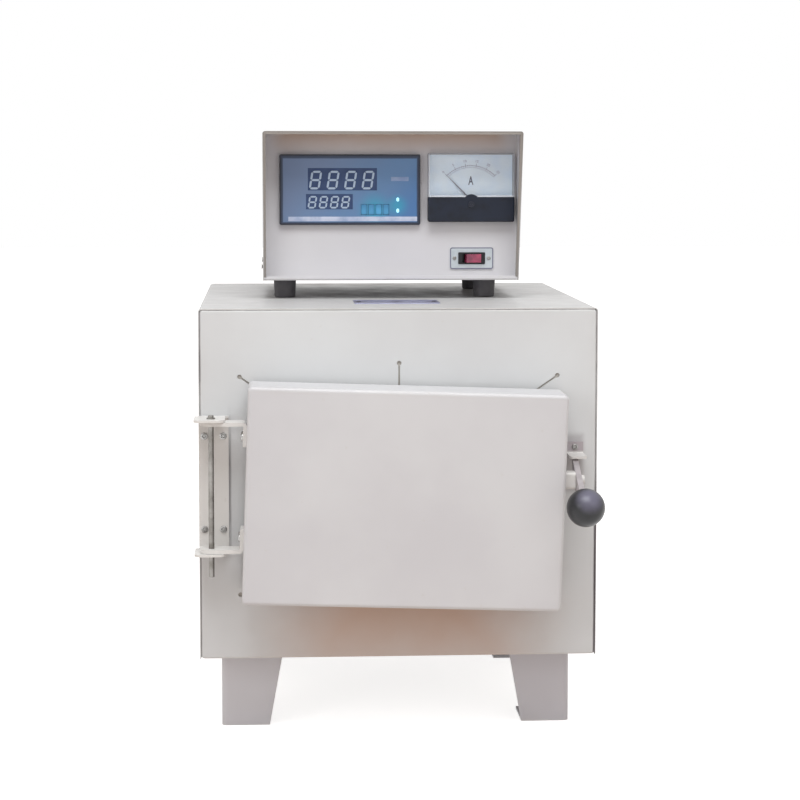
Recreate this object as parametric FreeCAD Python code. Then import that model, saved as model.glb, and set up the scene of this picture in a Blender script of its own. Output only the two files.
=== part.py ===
import FreeCAD, Part
import math
import os
from FreeCAD import Vector

# A box furnace on four sheet legs with its controller standing on top.
# Sizes are in millimetres: X to the right, Y away from the viewer, Z up from the floor.

# Fits, clearances and cutters
running_fit = 0.05          # radial, a pin in its bore
moving_gap = 0.3            # between pieces that move past each other
screw_clearance = 0.2       # radial, a screw in its hole
cutter_past = 1.0           # a cutter reaches this far past the faces that it opens
close = 1e-4                # two places nearer than this are one

# Casing
body_width = 430.0
body_depth = 450.0
body_height = 379.0
leg_height = 87.0
casing_sheet = 1.2
casing_bend = 4.0
panel_sheet = 1.5
panel_bend = 2.5
panel_flange = 15.0
base_sheet = 2.0

# Legs
leg_inset_side = 22.0
leg_inset_front = 50.0
leg_top_width = 69.0
leg_foot_width = 53.0
leg_sheet = 3.0
leg_bend = 6.0
leg_bolt_diameter = 8.0
leg_bolt_head = 13.0        # across flats
leg_bolt_head_height = 5.3
leg_bolt_far = 42.0         # from the leg's corner, along one side
leg_bolt_near = 17.5        # and along the other

# Chamber and linings
chamber_width = 120.0
chamber_height = 80.0
chamber_depth = 200.0
chamber_wall = 18.0
chamber_axis = 188.0        # height over the casing's underside
front_wall = 60.0
mouth_flare = 15.0          # the mouth is this much wider on each side at the front
mouth_flare_up = 12.0
panel_opening_width = 170.0
panel_opening_height = 120.0
panel_opening_corner = 6.0
element_diameter = 8.0
channel_gap = 0.3           # round an element in its channel
channel_depth = 6.5         # from the chamber's wall to the channel's axis
channel_slot = 6.4          # width of the slot from a channel into the chamber
channel_pitch = 24.0
side_channels = 3
roof_channels = 4
element_end = 12.0          # channels and elements stop short of the chamber's back

# Saw cuts that let the hot front panel grow, each with a round stop hole
stop_hole_diameter = 5.0
stop_hole_across = 171.0
stop_hole_up = 118.0
middle_slot_up = 132.0
slot_width = 2.0

# Door
door_width = 337.0
door_height = 230.6
door_shift_across = 3.5     # door's middle to the right of the chamber's axis
door_shift_down = 6.2
door_sag = 1.9              # degrees that the door hangs out of square, its free side low
door_front = 65.0           # face ahead of the front panel
door_rim = 8.0              # rim ahead of the front panel
door_sheet = 1.5
door_bend = 4.0
door_corner = 5.0
backing_inset = 2.0         # backing plate inside the rim
plug_clearance = 5.0
plug_reach = 28.0           # past the front panel's face
plug_root = 22.0
gasket_width = 12.0
gasket_margin = 8.0         # outside the panel's opening
gasket_corner = 6.0         # inner corner
rivet_diameter = 5.0
rivet_head = 2.0
rivet_head_diameter = 9.0

# Hinge
hinge_plate_width = 32.0
hinge_sheet = 2.5
hinge_bend = 4.0
hinge_low = 120.0           # lower ear over the casing's underside
hinge_high = 265.0
ear_reach = 47.0
ear_width = 33.0
ear_overhang = 4.0          # ears stand this much outside the casing's side
ear_corner = 7.0
rod_diameter = 6.0
rod_inset = 14.0            # inside the casing's left side
rod_ahead = 32.0
rod_above = 4.0
rod_below = 24.0
rod_chamfer = 0.6
collar_diameter = 9.0
collar_height = 1.2
arm_sheet = 4.0
arm_bend = 5.0
arm_width = 24.0
arm_tab = 26.0
arm_rivet_from_leaf = 16.0
arm_rivet_spacing = 12.0
hinge_screw_diameter = 4.0
hinge_screw_head = 7.5
hinge_screw_head_height = 2.2
hinge_screw_spacing = 20.0
hinge_screw_up = 22.0       # over the lower ear, and under the upper one

# Latch
latch_pivot_up = 199.0      # over the casing's underside
latch_pivot_ahead = 45.0
latch_boss_width = 12.0
latch_boss_size = 18.0
latch_boss_corner = 3.0
latch_pin_diameter = 6.0
latch_pin_head = 10.0
latch_pin_past = 4.0        # pin's end past the lever
lever_width = 6.0
lever_hub_radius = 9.0
lever_nose_back = 19.0
lever_nose_radius = 3.5
lever_arm_radius = 5.0
lever_stud_diameter = 8.0
lever_stud_in_ball = 12.0
ball_diameter = 40.0
ball_ahead = 105.0
ball_below_pivot = 20.0
ball_neck_diameter = 16.0
keeper_width = 18.0
keeper_sheet = 2.5
keeper_bend = 3.5
keeper_tip_corner = 3.0
ledge_over_pivot = 23.0     # ledge's top over the lever's pivot
keeper_ledge_reach = 32.0
keeper_plate_height = 12.0
keeper_side_step = 6.0      # the keeper reaches this far left of the lever's middle plane
keeper_screw_up = 6.6       # over the ledge's top
keeper_screw_diameter = 4.0
keeper_screw_head = 6.5
keeper_screw_head_height = 2.0
latch_gap = 0.5             # nose under the ledge

# Back of the furnace
cover_width = 190.0
cover_height = 130.0
cover_depth = 35.0
cover_up = 188.0
cover_sheet = 1.2
cover_corner = 4.0
cover_bend = 3.0
cover_slots = 7
cover_slot_pitch = 16.0
cover_slot_width = 4.0
cover_slot_length = 60.0
cover_slot_corner = 1.8
thermocouple_diameter = 8.0
thermocouple_in_chamber = 45.0
thermocouple_tip_round = 3.5
thermocouple_head_diameter = 22.0
thermocouple_head_length = 14.0
terminal_width = 90.0
terminal_height = 28.0
terminal_depth = 12.0
terminal_corner = 3.0
terminal_round = 1.5
terminal_drop = 36.0        # under the thermocouple
stud_spacing = 45.0
stud_diameter = 6.0
stud_length = 10.0
stud_nut = 10.2             # across flats
stud_nut_height = 4.8
gland_bore_diameter = 10.0
gland_wall = 3.0
gland_nut = 22.0            # across flats
gland_nut_height = 6.0
gland_cap_diameter = 19.0
gland_cap_round = 3.0
gland_neck_past = 3.0       # neck's end inside the wall
gland_length = 22.0
gland_across = 47.5

# Controller
case_width = 292.0
case_height = 169.0
case_sheet = 1.2
case_bend = 3.0
panel_back = 169.0          # controller's panel behind the furnace's front panel
case_depth = 212.0          # from that panel to the rear wall
visor_top = 60.0
visor_bottom = 20.0
chassis_sheet = 1.5
chassis_bend = 2.5
chassis_lip = 5.0
chassis_flange = 24.0
control_panel_sheet = 2.0
foot_height = 21.0
foot_top_diameter = 26.0
foot_bottom_diameter = 24.0
foot_round = 1.5
foot_from_front = 20.0      # behind the controller's panel
foot_from_rear = 46.0
foot_spacing = 231.0
foot_shift = -5.5
case_screw_diameter = 3.8
case_screw_head = 7.0
case_screw_head_height = 2.0
case_screw_up = 14.0
case_screw_inset = 25.5
case_vents = 6
case_vent_pitch = 14.0
case_vent_width = 4.0
case_vent_length = 45.0
case_vent_up = 103.0
case_vent_corner = 1.8

# Temperature instrument, 160 x 80 panel size
instrument_across = -46.5
instrument_up = 103.0       # over the case's underside
instrument_width = 161.0
instrument_height = 80.5
bezel_depth = 7.0
bezel_rim = 2.2
bezel_ledge = 2.0
bezel_corner = 2.0
bezel_round = 1.2
face_thick = 1.5
face_recess = 1.2
instrument_depth = 105.0
lens_recess = 0.3
upper_display_width = 79.0
upper_display_height = 25.5
upper_display_across = -8.7
upper_display_up = 11.9
lower_display_width = 53.5
lower_display_height = 17.5
lower_display_across = -23.6
lower_display_up = -13.7
key_count = 4
key_width = 6.4
key_height = 11.5
key_pitch = 8.4
key_across = 28.5
key_up = -22.6
key_proud = 1.0
key_travel = 0.8
key_foot = 0.3              # key's back edge behind the face
key_corner = 1.0
key_round = 0.6

# Ammeter, 100 x 80 panel size
meter_across = 92.0
meter_up = 105.5
meter_width = 99.0
meter_height = 78.5
meter_front_depth = 14.0
meter_tray_depth = 4.2
meter_sheet = 1.6
meter_corner = 2.2
meter_round = 2.0
meter_cover_height = 28.5
meter_bump_radius = 10.0
meter_bump_rise = 3.2
meter_barrel_diameter = 72.0
meter_barrel_depth = 42.0
meter_barrel_round = 3.0
dial_thick = 0.8
pointer_up = -14.0
pointer_length = 41.0
pointer_shoulder = 28.7     # where the needle begins to taper to its tip
pointer_tail = 6.0
pointer_width = 0.9
pointer_tail_width = 1.8
pointer_thick = 0.6
pointer_ahead = 2.0         # of the dial
pointer_hub_diameter = 5.0
pointer_hub_proud = 0.6
pointer_pin_diameter = 1.6
pointer_pin_length = 3.0
pointer_rest_angle = 45.0   # left of upright
zero_screw_diameter = 7.0
zero_shank_diameter = 5.0
zero_screw_slot = 1.0
zero_screw_head = 1.2
zero_slot_depth = 0.6
zero_shank_past = 0.5       # behind the cover's face
zero_screw_drop = 5.0       # under the pointer's axis

# Power switch
switch_across = 93.6
switch_up = 24.2
switch_plate_width = 50.0
switch_plate_height = 25.0
switch_plate_thick = 1.5
switch_plate_corner = 2.5
switch_width = 31.0
switch_height = 13.8
switch_rim = 1.5            # the rim's lap over the plate, across
switch_rim_up = 1.2         # and up
switch_rim_corner = 1.2
switch_rim_round = 0.8
switch_rim_ahead = 2.0
switch_depth = 22.0
rocker_width = 17.4
rocker_height = 9.6
rocker_pivot_back = 5.0
rocker_pin_diameter = 1.8
rocker_pin_seat = 0.5       # pin's ends in the switch's walls
rocker_proud = 3.4
rocker_valley = 1.6
rocker_heel_width = 15.6
rocker_heel = 1.0           # behind the pivot
rocker_keel_width = 7.0
rocker_keel = 3.0
rocker_room = 3.0           # behind the keel
rocker_tilt = 12.0
switch_screw_spacing = 39.5
switch_screw_diameter = 3.0
switch_screw_head = 4.5
switch_screw_head_height = 1.3

# Inside the controller
inner_margin = 12.0         # from the walls to what stands on the floor
sink_width = 80.0
sink_height = 42.0
sink_depth = 90.0
sink_base = 8.0
sink_fins = 7
sink_fin_thick = 2.5
module_width = 45.0
module_depth = 58.0
module_height = 22.0
module_corner = 2.0
strip_width = 90.0
strip_height = 20.0
strip_depth = 26.0
strip_rib = 9.8             # width of the raised rib along its middle
strip_step_up = 11.0
controller_gland_spacing = 60.0
controller_gland_up = 30.0

# Places worked out from the sizes
ball_radius = ball_diameter / 2
front_y = (ball_ahead + ball_radius - body_depth - cover_depth) / 2
back_y = front_y + body_depth
base_z = leg_height
top_z = base_z + body_height
side_x = body_width / 2
axis_z = base_z + chamber_axis
inner_x = side_x - casing_sheet
inner_top = top_z - casing_sheet
casing_edges = (-inner_x, inner_x, base_z, inner_top)
leg_top_z = base_z + panel_sheet
floor_z = leg_top_z + base_sheet
chamber_front = front_y + front_wall
chamber_back = chamber_front + chamber_depth
muffle_x = chamber_width / 2 + chamber_wall
muffle_low = axis_z - chamber_height / 2 - chamber_wall
muffle_high = axis_z + chamber_height / 2 + chamber_wall
muffle_back = chamber_back + chamber_wall
lining_x = inner_x - casing_bend - moving_gap
lining_front = front_y + panel_sheet
lining_back = back_y - panel_sheet
lining_top = inner_top - casing_bend - moving_gap
door_left = door_shift_across - door_width / 2
door_right = door_left + door_width
door_low = axis_z - door_shift_down - door_height / 2
door_edges = (door_left, door_right, door_low, door_low + door_height)
sag_sin = math.sin(math.radians(door_sag))
sag_cos = math.cos(math.radians(door_sag))
door_face_y = front_y - door_front
door_rim_y = front_y - door_rim
backing_y = door_rim_y - backing_inset
rod_x = -side_x + rod_inset
rod_y = front_y - rod_ahead
ear_low_z = base_z + hinge_low
ear_high_z = base_z + hinge_high
arm_low_z = ear_low_z + hinge_sheet + moving_gap
arm_high_z = ear_high_z - hinge_sheet - moving_gap
latch_y = front_y - latch_pivot_ahead
latch_z = base_z + latch_pivot_up
lever_x0 = door_right + latch_boss_width + moving_gap
lever_x1 = lever_x0 + lever_width
lever_x = (lever_x0 + lever_x1) / 2
lever_pivot = Vector(lever_x, latch_y, latch_z)
ball_centre = Vector(lever_x, front_y - ball_ahead, latch_z - ball_below_pivot)
lever_way = (ball_centre - lever_pivot).normalize()
ledge_z = latch_z + ledge_over_pivot
keeper_x = lever_x - keeper_side_step
keeper_screw_place = Vector(keeper_x + keeper_width / 2, front_y, ledge_z + keeper_screw_up)
cover_low = base_z + cover_up - cover_height / 2
terminal_z = axis_z - terminal_drop
gland_neck = gland_bore_diameter + 2 * gland_wall
rear_gland_place = Vector(gland_across, back_y + (cover_depth - cover_bend) / 2, cover_low)
controller_y = front_y + panel_back
case_low = top_z + moving_gap + foot_height
case_high = case_low + case_height
case_x = case_width / 2
case_back = controller_y + case_depth
case_inner_x = case_x - case_sheet
chassis_floor = case_low + chassis_sheet
bezel_y = controller_y - bezel_depth
face_y = bezel_y + face_recess
face_back_y = face_y + face_thick
housing_y = face_back_y + key_foot + key_travel + moving_gap
meter_centre = Vector(meter_across, controller_y, case_low + meter_up)
meter_front_y = controller_y - meter_front_depth
tray_inset = meter_sheet + screw_clearance
tray_corner = meter_corner - meter_sheet
tray_y = controller_y - meter_tray_depth
dial_y = tray_y - dial_thick
pointer_pivot = Vector(meter_across, dial_y, meter_centre.z + pointer_up)
zero_place = Vector(meter_across, meter_front_y, pointer_pivot.z - zero_screw_drop)
switch_z = case_low + switch_up
switch_plate_y = controller_y - switch_plate_thick
switch_rim_y = switch_plate_y - switch_rim_ahead
rocker_front_y = switch_rim_y - rocker_proud
rocker_pivot = Vector(switch_across, switch_plate_y + rocker_pivot_back, switch_z)
sink_x = case_inner_x - inner_margin - sink_width
sink_y = case_back - chassis_sheet - inner_margin - sink_depth
strip_x = -case_inner_x + inner_margin
strip_y = case_back - chassis_sheet - inner_margin - strip_depth

os.makedirs("parts", exist_ok=True)


def save(name, shape):
    """Write one node; several pieces of one node stay separate solids."""
    shape.exportStep("parts/" + name + ".step")


def box(x0, x1, y0, y1, z0, z1):
    """Block between two places on each axis, given in either order."""
    low = Vector(min(x0, x1), min(y0, y1), min(z0, z1))
    return Part.makeBox(abs(x1 - x0), abs(y1 - y0), abs(z1 - z0), low)


def rod(diameter, start, end):
    axis = end - start
    return Part.makeCylinder(diameter / 2, axis.Length, start, axis)


def drill(shape, diameter, start, along):
    """Round hole from start along a vector, opened past both ends."""
    past = Vector(along).normalize() * cutter_past
    return shape.cut(rod(diameter, start - past, start + along + past))


def screw_hole(diameter):
    return diameter + 2 * screw_clearance


def prism(corners, along):
    """Solid swept from a flat polygon."""
    return Part.Face(Part.makePolygon(corners + [corners[0]])).extrude(along)


def straight_edges(shape, axis):
    """Straight edges that run along an axis."""
    found = []
    for edge in shape.Edges:
        step = edge.Vertexes[-1].Point - edge.Vertexes[0].Point
        if step.Length > close and abs(step.normalize().dot(axis)) > 1 - 1e-3:
            found.append(edge)
    return found


def edges_at_y(shape, y):
    """Edges that lie in the plane of one Y."""
    def there(value):
        return abs(value - y) < close
    return [e for e in shape.Edges if there(e.BoundBox.YMin) and there(e.BoundBox.YMax)]


def around(x, z, width, height):
    """Edges (x0, x1, z0, z1) of an upright rectangle about a place."""
    return (x - width / 2, x + width / 2, z - height / 2, z + height / 2)


def wider(edges, margin):
    """The edges moved outwards by a margin."""
    x0, x1, z0, z1 = edges
    return (x0 - margin, x1 + margin, z0 - margin, z1 + margin)


def slab(edges, y0, y1):
    """Block with upright edges between two depths."""
    x0, x1, z0, z1 = edges
    return box(x0, x1, y0, y1, z0, z1)


def rounded_slab(edges, y0, y1, corner):
    """Slab whose four edges along Y are round."""
    block = slab(edges, y0, y1)
    return block.makeFillet(corner, straight_edges(block, Vector(0, 1, 0)))


def window(shape, edges, y0, y1):
    """Rectangular hole along Y, opened past both faces."""
    return shape.cut(slab(edges, y0 - cutter_past, y1 + cutter_past))


def rounded_post(x, y, x1, y1, z0, z1, corner):
    """Upright block whose one edge at (x, y) is round."""
    post = box(x, x1, y, y1, z0, z1)
    edges = []
    for edge in straight_edges(post, Vector(0, 0, 1)):
        centre = edge.BoundBox.Center
        if math.hypot(centre.x - x, centre.y - y) < corner:
            edges.append(edge)
    return post.makeFillet(corner, edges)


def pan(edges, face_y, rim_y, sheet, corner, bend):
    """Sheet pan: its face at face_y, its flanges bent round to rim_y."""
    inward = sheet if rim_y > face_y else -sheet
    outer = rounded_slab(edges, face_y, rim_y, corner)
    outer = outer.makeFillet(bend, edges_at_y(outer, face_y))
    inner = rounded_slab(wider(edges, -sheet), face_y + inward, rim_y + inward, corner - sheet)
    inner = inner.makeFillet(bend - sheet, edges_at_y(inner, face_y + inward))
    return outer.cut(inner)


def strip_face(corners, sheet, bend, to_space):
    """Section of a bent strip. The corners follow one side of it as (u, v) pairs and the sheet
    lies to their left. A bend has the radius bend outside and bend - sheet inside."""
    points = [Vector(u, v, 0) for u, v in corners]
    ways = [(b - a).normalize() for a, b in zip(points, points[1:])]
    lefts = [Vector(-w.y, w.x, 0) for w in ways]
    near = [points[0]]
    far = [points[0] + lefts[0] * sheet]
    near_edges = []
    far_edges = []
    for corner, way, left, next_way, next_left in zip(points[1:], ways, lefts, ways[1:], lefts[1:]):
        turn = math.atan2(way.x * next_way.y - way.y * next_way.x, way.dot(next_way))
        side = 1 if turn > 0 else -1
        near_radius = bend if turn > 0 else bend - sheet
        far_radius = near_radius - side * sheet
        tangent = near_radius * math.tan(abs(turn) / 2)
        start = corner - way * tangent
        end = corner + next_way * tangent
        centre = start + left * (side * near_radius)
        out = (corner - centre).normalize()
        for path, edges, offset, radius in ((near, near_edges, 0, near_radius),
                                            (far, far_edges, sheet, far_radius)):
            first = start + left * offset
            last = end + next_left * offset
            middle = centre + out * radius
            edges.append(Part.LineSegment(to_space(path[-1]), to_space(first)).toShape())
            edges.append(Part.Arc(to_space(first), to_space(middle), to_space(last)).toShape())
            path.append(last)
    near_end = points[-1]
    far_end = points[-1] + lefts[-1] * sheet
    near_edges.append(Part.LineSegment(to_space(near[-1]), to_space(near_end)).toShape())
    far_edges.append(Part.LineSegment(to_space(far[-1]), to_space(far_end)).toShape())
    caps = [Part.LineSegment(to_space(near_end), to_space(far_end)).toShape(),
            Part.LineSegment(to_space(near[0]), to_space(far[0])).toShape()]
    return Part.Face(Part.Wire(Part.__sortEdges__(near_edges + far_edges + caps)))


def tapered_bar(start, start_radius, end, end_radius, x0, x1):
    """Flat bar in the YZ plane with round ends of two sizes; start and end are (y, z)."""
    a = Vector(x0, start[0], start[1])
    b = Vector(x0, end[0], end[1])
    heading = math.atan2(b.z - a.z, b.y - a.y)
    spread = math.acos((start_radius - end_radius) / (b - a).Length)

    def on_circle(centre, radius, angle):
        return centre + Vector(0, radius * math.cos(angle), radius * math.sin(angle))

    a_up = on_circle(a, start_radius, heading + spread)
    a_down = on_circle(a, start_radius, heading - spread)
    b_up = on_circle(b, end_radius, heading + spread)
    b_down = on_circle(b, end_radius, heading - spread)
    outline = Part.Wire([
        Part.Arc(a_up, on_circle(a, start_radius, heading + math.pi), a_down).toShape(),
        Part.LineSegment(a_down, b_down).toShape(),
        Part.Arc(b_down, on_circle(b, end_radius, heading), b_up).toShape(),
        Part.LineSegment(b_up, a_up).toShape(),
    ])
    return Part.Face(outline).extrude(Vector(x1 - x0, 0, 0))


def frustum_block(y0, half0, y1, half1):
    """Block on the chamber's axis from y0 to y1 between rectangles of half sizes (across, up)."""
    def loop(y, half):
        across, up = half
        corners = [Vector(-across, y, axis_z - up), Vector(across, y, axis_z - up),
                   Vector(across, y, axis_z + up), Vector(-across, y, axis_z + up)]
        return Part.makePolygon(corners + [corners[0]])
    return Part.makeLoft([loop(y0, half0), loop(y1, half1)], True, True)


def hexagon(centre, across_flats, along):
    """Hexagonal prism along Y or Z, whichever along has."""
    radius = across_flats / math.sqrt(3)
    corners = []
    for k in range(6):
        c = radius * math.cos(math.radians(60 * k))
        s = radius * math.sin(math.radians(60 * k))
        flat = Vector(c, s, 0) if abs(along.z) > abs(along.y) else Vector(c, 0, s)
        corners.append(centre + flat)
    return prism(corners, along)


def round_screw(head_diameter, head_height, diameter, length, seat, out):
    """Pan-head screw: a low dome on its seat and a plain shank. out points away from the seat."""
    head = rod(head_diameter, seat, seat + out * head_height)
    crown = [e for e in head.Edges if (e.BoundBox.Center - seat).dot(out) > head_height - close]
    head = head.makeFillet(head_height / 2, crown)
    return head.fuse(rod(diameter, seat - out * length, seat)).removeSplitter()


def hang(shape):
    """The shape turned with the door, which hangs out of square about the mouth's axis."""
    hung = shape.copy()
    hung.rotate(Vector(0, front_y, axis_z), Vector(0, 1, 0), door_sag)
    return hung


def mouth_half(depth):
    """Half width and half height of the flared mouth at a depth behind the front panel's face."""
    left = 1 - depth / front_wall
    return (chamber_width / 2 + mouth_flare * left, chamber_height / 2 + mouth_flare_up * left)


def slot_tool(x0, z0, x1, z1):
    """Cutter of one saw cut from the mouth's edge to its stop hole."""
    run = Vector(x1 - x0, 0, z1 - z0)
    across = Vector(-run.z, 0, run.x).normalize() * (slot_width / 2)
    start = Vector(x0, front_y - cutter_past, z0)
    corners = [start - across, start + run - across, start + run + across, start + across]
    deep = Vector(0, panel_sheet + 2 * cutter_past, 0)
    return prism(corners, deep).fuse(rod(stop_hole_diameter, start + run, start + run + deep))


def probe_hole(shape, y0, y1):
    """Hole for the thermocouple on the chamber's axis."""
    return drill(shape, screw_hole(thermocouple_diameter), Vector(0, y0, axis_z), Vector(0, y1 - y0, 0))


# Casing


def make_casing_shell():
    """One sheet folded over the top and down both sides."""
    corners = [(side_x, base_z), (side_x, top_z), (-side_x, top_z), (-side_x, base_z)]
    face = strip_face(corners, casing_sheet, casing_bend, lambda p: Vector(p.x, front_y, p.y))
    return face.extrude(Vector(0, body_depth, 0))


def hinge_screw_points():
    middle = -side_x + hinge_plate_width / 2
    points = []
    for z in (ear_low_z + hinge_screw_up, ear_high_z - hinge_screw_up):
        for side in (-1, 1):
            points.append(Vector(middle + side * hinge_screw_spacing / 2, front_y, z))
    return points


def make_front_panel():
    """Pan with the mouth's opening, five saw cuts and the holes of the hinge and the keeper."""
    panel = pan(casing_edges, front_y, front_y + panel_flange, panel_sheet, casing_bend, panel_bend)
    opening = around(0, axis_z, panel_opening_width, panel_opening_height)
    panel = panel.cut(rounded_slab(opening, front_y - cutter_past, front_y + panel_sheet + cutter_past,
                                   panel_opening_corner))
    from_x = panel_opening_width / 2 - panel_opening_corner
    from_z = panel_opening_height / 2 - panel_opening_corner
    for side in (-1, 1):
        for up in (-1, 1):
            panel = panel.cut(slot_tool(side * from_x, axis_z + up * from_z,
                                        side * stop_hole_across, axis_z + up * stop_hole_up))
    panel = panel.cut(slot_tool(0, axis_z + from_z, 0, axis_z + middle_slot_up))
    through = Vector(0, panel_sheet, 0)
    for point in hinge_screw_points():
        panel = drill(panel, screw_hole(hinge_screw_diameter), point, through)
    return drill(panel, screw_hole(keeper_screw_diameter), keeper_screw_place, through)


def make_back_panel():
    panel = pan(casing_edges, back_y, back_y - panel_flange, panel_sheet, casing_bend, panel_bend)
    return probe_hole(panel, lining_back, back_y)


def leg_corner(side, end):
    """Outer corner of a leg in plan; side is -1 or 1, end is -1 at the front and 1 at the back."""
    middle = (front_y + back_y) / 2
    return side * (side_x - leg_inset_side), middle + end * (body_depth / 2 - leg_inset_front)


def leg_bolt_points():
    """Two places on the underside of each leg's seat."""
    points = []
    for side in (-1, 1):
        for end in (-1, 1):
            x, y = leg_corner(side, end)
            for across, back in ((leg_bolt_far, leg_bolt_near), (leg_bolt_near, leg_bolt_far)):
                points.append(Vector(x - side * across, y - end * back, leg_top_z - leg_sheet))
    return points


def drill_leg_bolts(shape, up):
    for point in leg_bolt_points():
        shape = drill(shape, screw_hole(leg_bolt_diameter), point, Vector(0, 0, up))
    return shape


def make_base_plate():
    half = inner_x - casing_bend
    plate = box(-half, half, front_y + panel_bend, back_y - panel_bend, leg_top_z, floor_z)
    return drill_leg_bolts(plate, leg_sheet + base_sheet)


def make_leg(side, end):
    """Angle leg bent from sheet: both leaves taper, with a seat on top and a turned-in foot."""
    x, y = leg_corner(side, end)
    top_x = x - side * leg_top_width
    top_y = y - end * leg_top_width
    foot_x = x - side * leg_foot_width
    foot_y = y - end * leg_foot_width
    corners = [(top_x, y), (x, y), (x, top_y)]
    if side * end > 0:
        corners.reverse()
    face = strip_face(corners, leg_sheet, leg_bend, lambda p: Vector(p.x, p.y, 0))
    angle = face.extrude(Vector(0, 0, leg_top_z))
    seat = rounded_post(x, y, top_x, top_y, leg_top_z - leg_sheet, leg_top_z, leg_bend)
    foot = rounded_post(x, y, foot_x, foot_y, 0, leg_sheet, leg_bend)
    reach = body_width + body_depth
    front_taper = prism([Vector(x, y - reach, 0), Vector(foot_x, y - reach, 0),
                         Vector(top_x, y - reach, leg_top_z), Vector(x, y - reach, leg_top_z)],
                        Vector(0, 2 * reach, 0))
    side_taper = prism([Vector(x - reach, y, 0), Vector(x - reach, foot_y, 0),
                        Vector(x - reach, top_y, leg_top_z), Vector(x - reach, y, leg_top_z)],
                       Vector(2 * reach, 0, 0))
    leg = angle.fuse([seat, foot]).common(front_taper).common(side_taper)
    return drill_leg_bolts(leg, leg_sheet).removeSplitter()


def make_leg_bolts():
    bolts = []
    for point in leg_bolt_points():
        low = point - Vector(0, 0, leg_bolt_head_height)
        head = hexagon(low, leg_bolt_head, point - low)
        shank = rod(leg_bolt_diameter, low, Vector(point.x, point.y, floor_z))
        bolts.append(head.fuse(shank).removeSplitter())
    return Part.makeCompound(bolts)


# Chamber and linings


def channel_axes():
    """(x, z) of each element channel: side walls, then roof and hearth."""
    axes = []
    for k in range(side_channels):
        z = axis_z + (k - (side_channels - 1) / 2) * channel_pitch
        for side in (-1, 1):
            axes.append((side * (chamber_width / 2 + channel_depth), z))
    for k in range(roof_channels):
        x = (k - (roof_channels - 1) / 2) * channel_pitch
        for up in (-1, 1):
            axes.append((x, axis_z + up * (chamber_height / 2 + channel_depth)))
    return axes


def make_muffle():
    """Ceramic chamber, open at the front, with half-open channels for the elements."""
    half_x = chamber_width / 2
    half_z = chamber_height / 2
    half_slot = channel_slot / 2
    mouth_y = chamber_front - cutter_past
    channel_end = chamber_back - element_end
    block = box(-muffle_x, muffle_x, chamber_front, muffle_back, muffle_low, muffle_high)
    block = block.cut(slab(around(0, axis_z, chamber_width, chamber_height), mouth_y, chamber_back))
    for x, z in channel_axes():
        channel = rod(element_diameter + 2 * channel_gap, Vector(x, mouth_y, z), Vector(x, channel_end, z))
        if abs(x) > half_x:
            edge = math.copysign(half_x - cutter_past, x)
            slot = box(x, edge, mouth_y, channel_end, z - half_slot, z + half_slot)
        else:
            edge = axis_z + math.copysign(half_z - cutter_past, z - axis_z)
            slot = box(x - half_slot, x + half_slot, mouth_y, channel_end, z, edge)
        block = block.cut(channel).cut(slot)
    return probe_hole(block, chamber_back, muffle_back)


def make_heating_elements():
    """One rod to a channel, the outer size of the wire coil that lies there."""
    return Part.makeCompound([rod(element_diameter, Vector(x, chamber_front, z),
                                  Vector(x, chamber_back - element_end, z)) for x, z in channel_axes()])


def make_mouth_brick():
    """Front wall of the lining, its mouth flared towards the door."""
    block = box(-lining_x, lining_x, lining_front, chamber_front, floor_z, lining_top)
    return block.cut(frustum_block(lining_front - cutter_past, mouth_half(panel_sheet - cutter_past),
                                   chamber_front + cutter_past, mouth_half(front_wall + cutter_past)))


def make_insulation():
    """Blocks under, over, beside and behind the muffle."""
    behind = box(-muffle_x, muffle_x, muffle_back, lining_back, muffle_low, muffle_high)
    return Part.makeCompound([
        box(-lining_x, lining_x, chamber_front, lining_back, floor_z, muffle_low),
        box(-lining_x, lining_x, chamber_front, lining_back, muffle_high, lining_top),
        box(-lining_x, -muffle_x, chamber_front, lining_back, muffle_low, muffle_high),
        box(muffle_x, lining_x, chamber_front, lining_back, muffle_low, muffle_high),
        probe_hole(behind, muffle_back, lining_back),
    ])


# Back of the furnace


def make_thermocouple():
    """Sheathed rod through the back wall, with its round head outside the back panel."""
    tip = Vector(0, chamber_back - thermocouple_in_chamber, axis_z)
    seat = Vector(0, back_y, axis_z)
    sheath = rod(thermocouple_diameter, tip, seat)
    sheath = sheath.makeFillet(thermocouple_tip_round, edges_at_y(sheath, tip.y))
    head = rod(thermocouple_head_diameter, seat, seat + Vector(0, thermocouple_head_length, 0))
    return sheath.fuse(head).removeSplitter()


def make_terminal_block():
    """Ceramic block with two studs and their hexagon nuts, under the rear cover."""
    rear = back_y + terminal_depth
    outline = around(0, terminal_z, terminal_width, terminal_height)
    block = rounded_slab(outline, back_y, rear, terminal_corner)
    block = block.makeFillet(terminal_round, edges_at_y(block, rear))
    for side in (-1, 1):
        seat = Vector(side * stud_spacing / 2, rear, terminal_z)
        nut = hexagon(seat, stud_nut, Vector(0, stud_nut_height, 0))
        block = block.fuse([nut, rod(stud_diameter, seat, seat + Vector(0, stud_length, 0))])
    return block.removeSplitter()


def make_terminal_cover():
    """Pan over the rear terminals with a row of upright slots and the cable's hole underneath."""
    rear = back_y + cover_depth
    slot_y = rear - cover_sheet - cutter_past
    middle = base_z + cover_up
    outline = around(0, middle, cover_width, cover_height)
    cover = pan(outline, rear, back_y, cover_sheet, cover_corner, cover_bend)
    for k in range(cover_slots):
        x = (k - (cover_slots - 1) / 2) * cover_slot_pitch
        slot = around(x, middle, cover_slot_width, cover_slot_length)
        cover = cover.cut(rounded_slab(slot, slot_y, rear + cutter_past, cover_slot_corner))
    return drill(cover, screw_hole(gland_neck), rear_gland_place, Vector(0, 0, cover_sheet))


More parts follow.
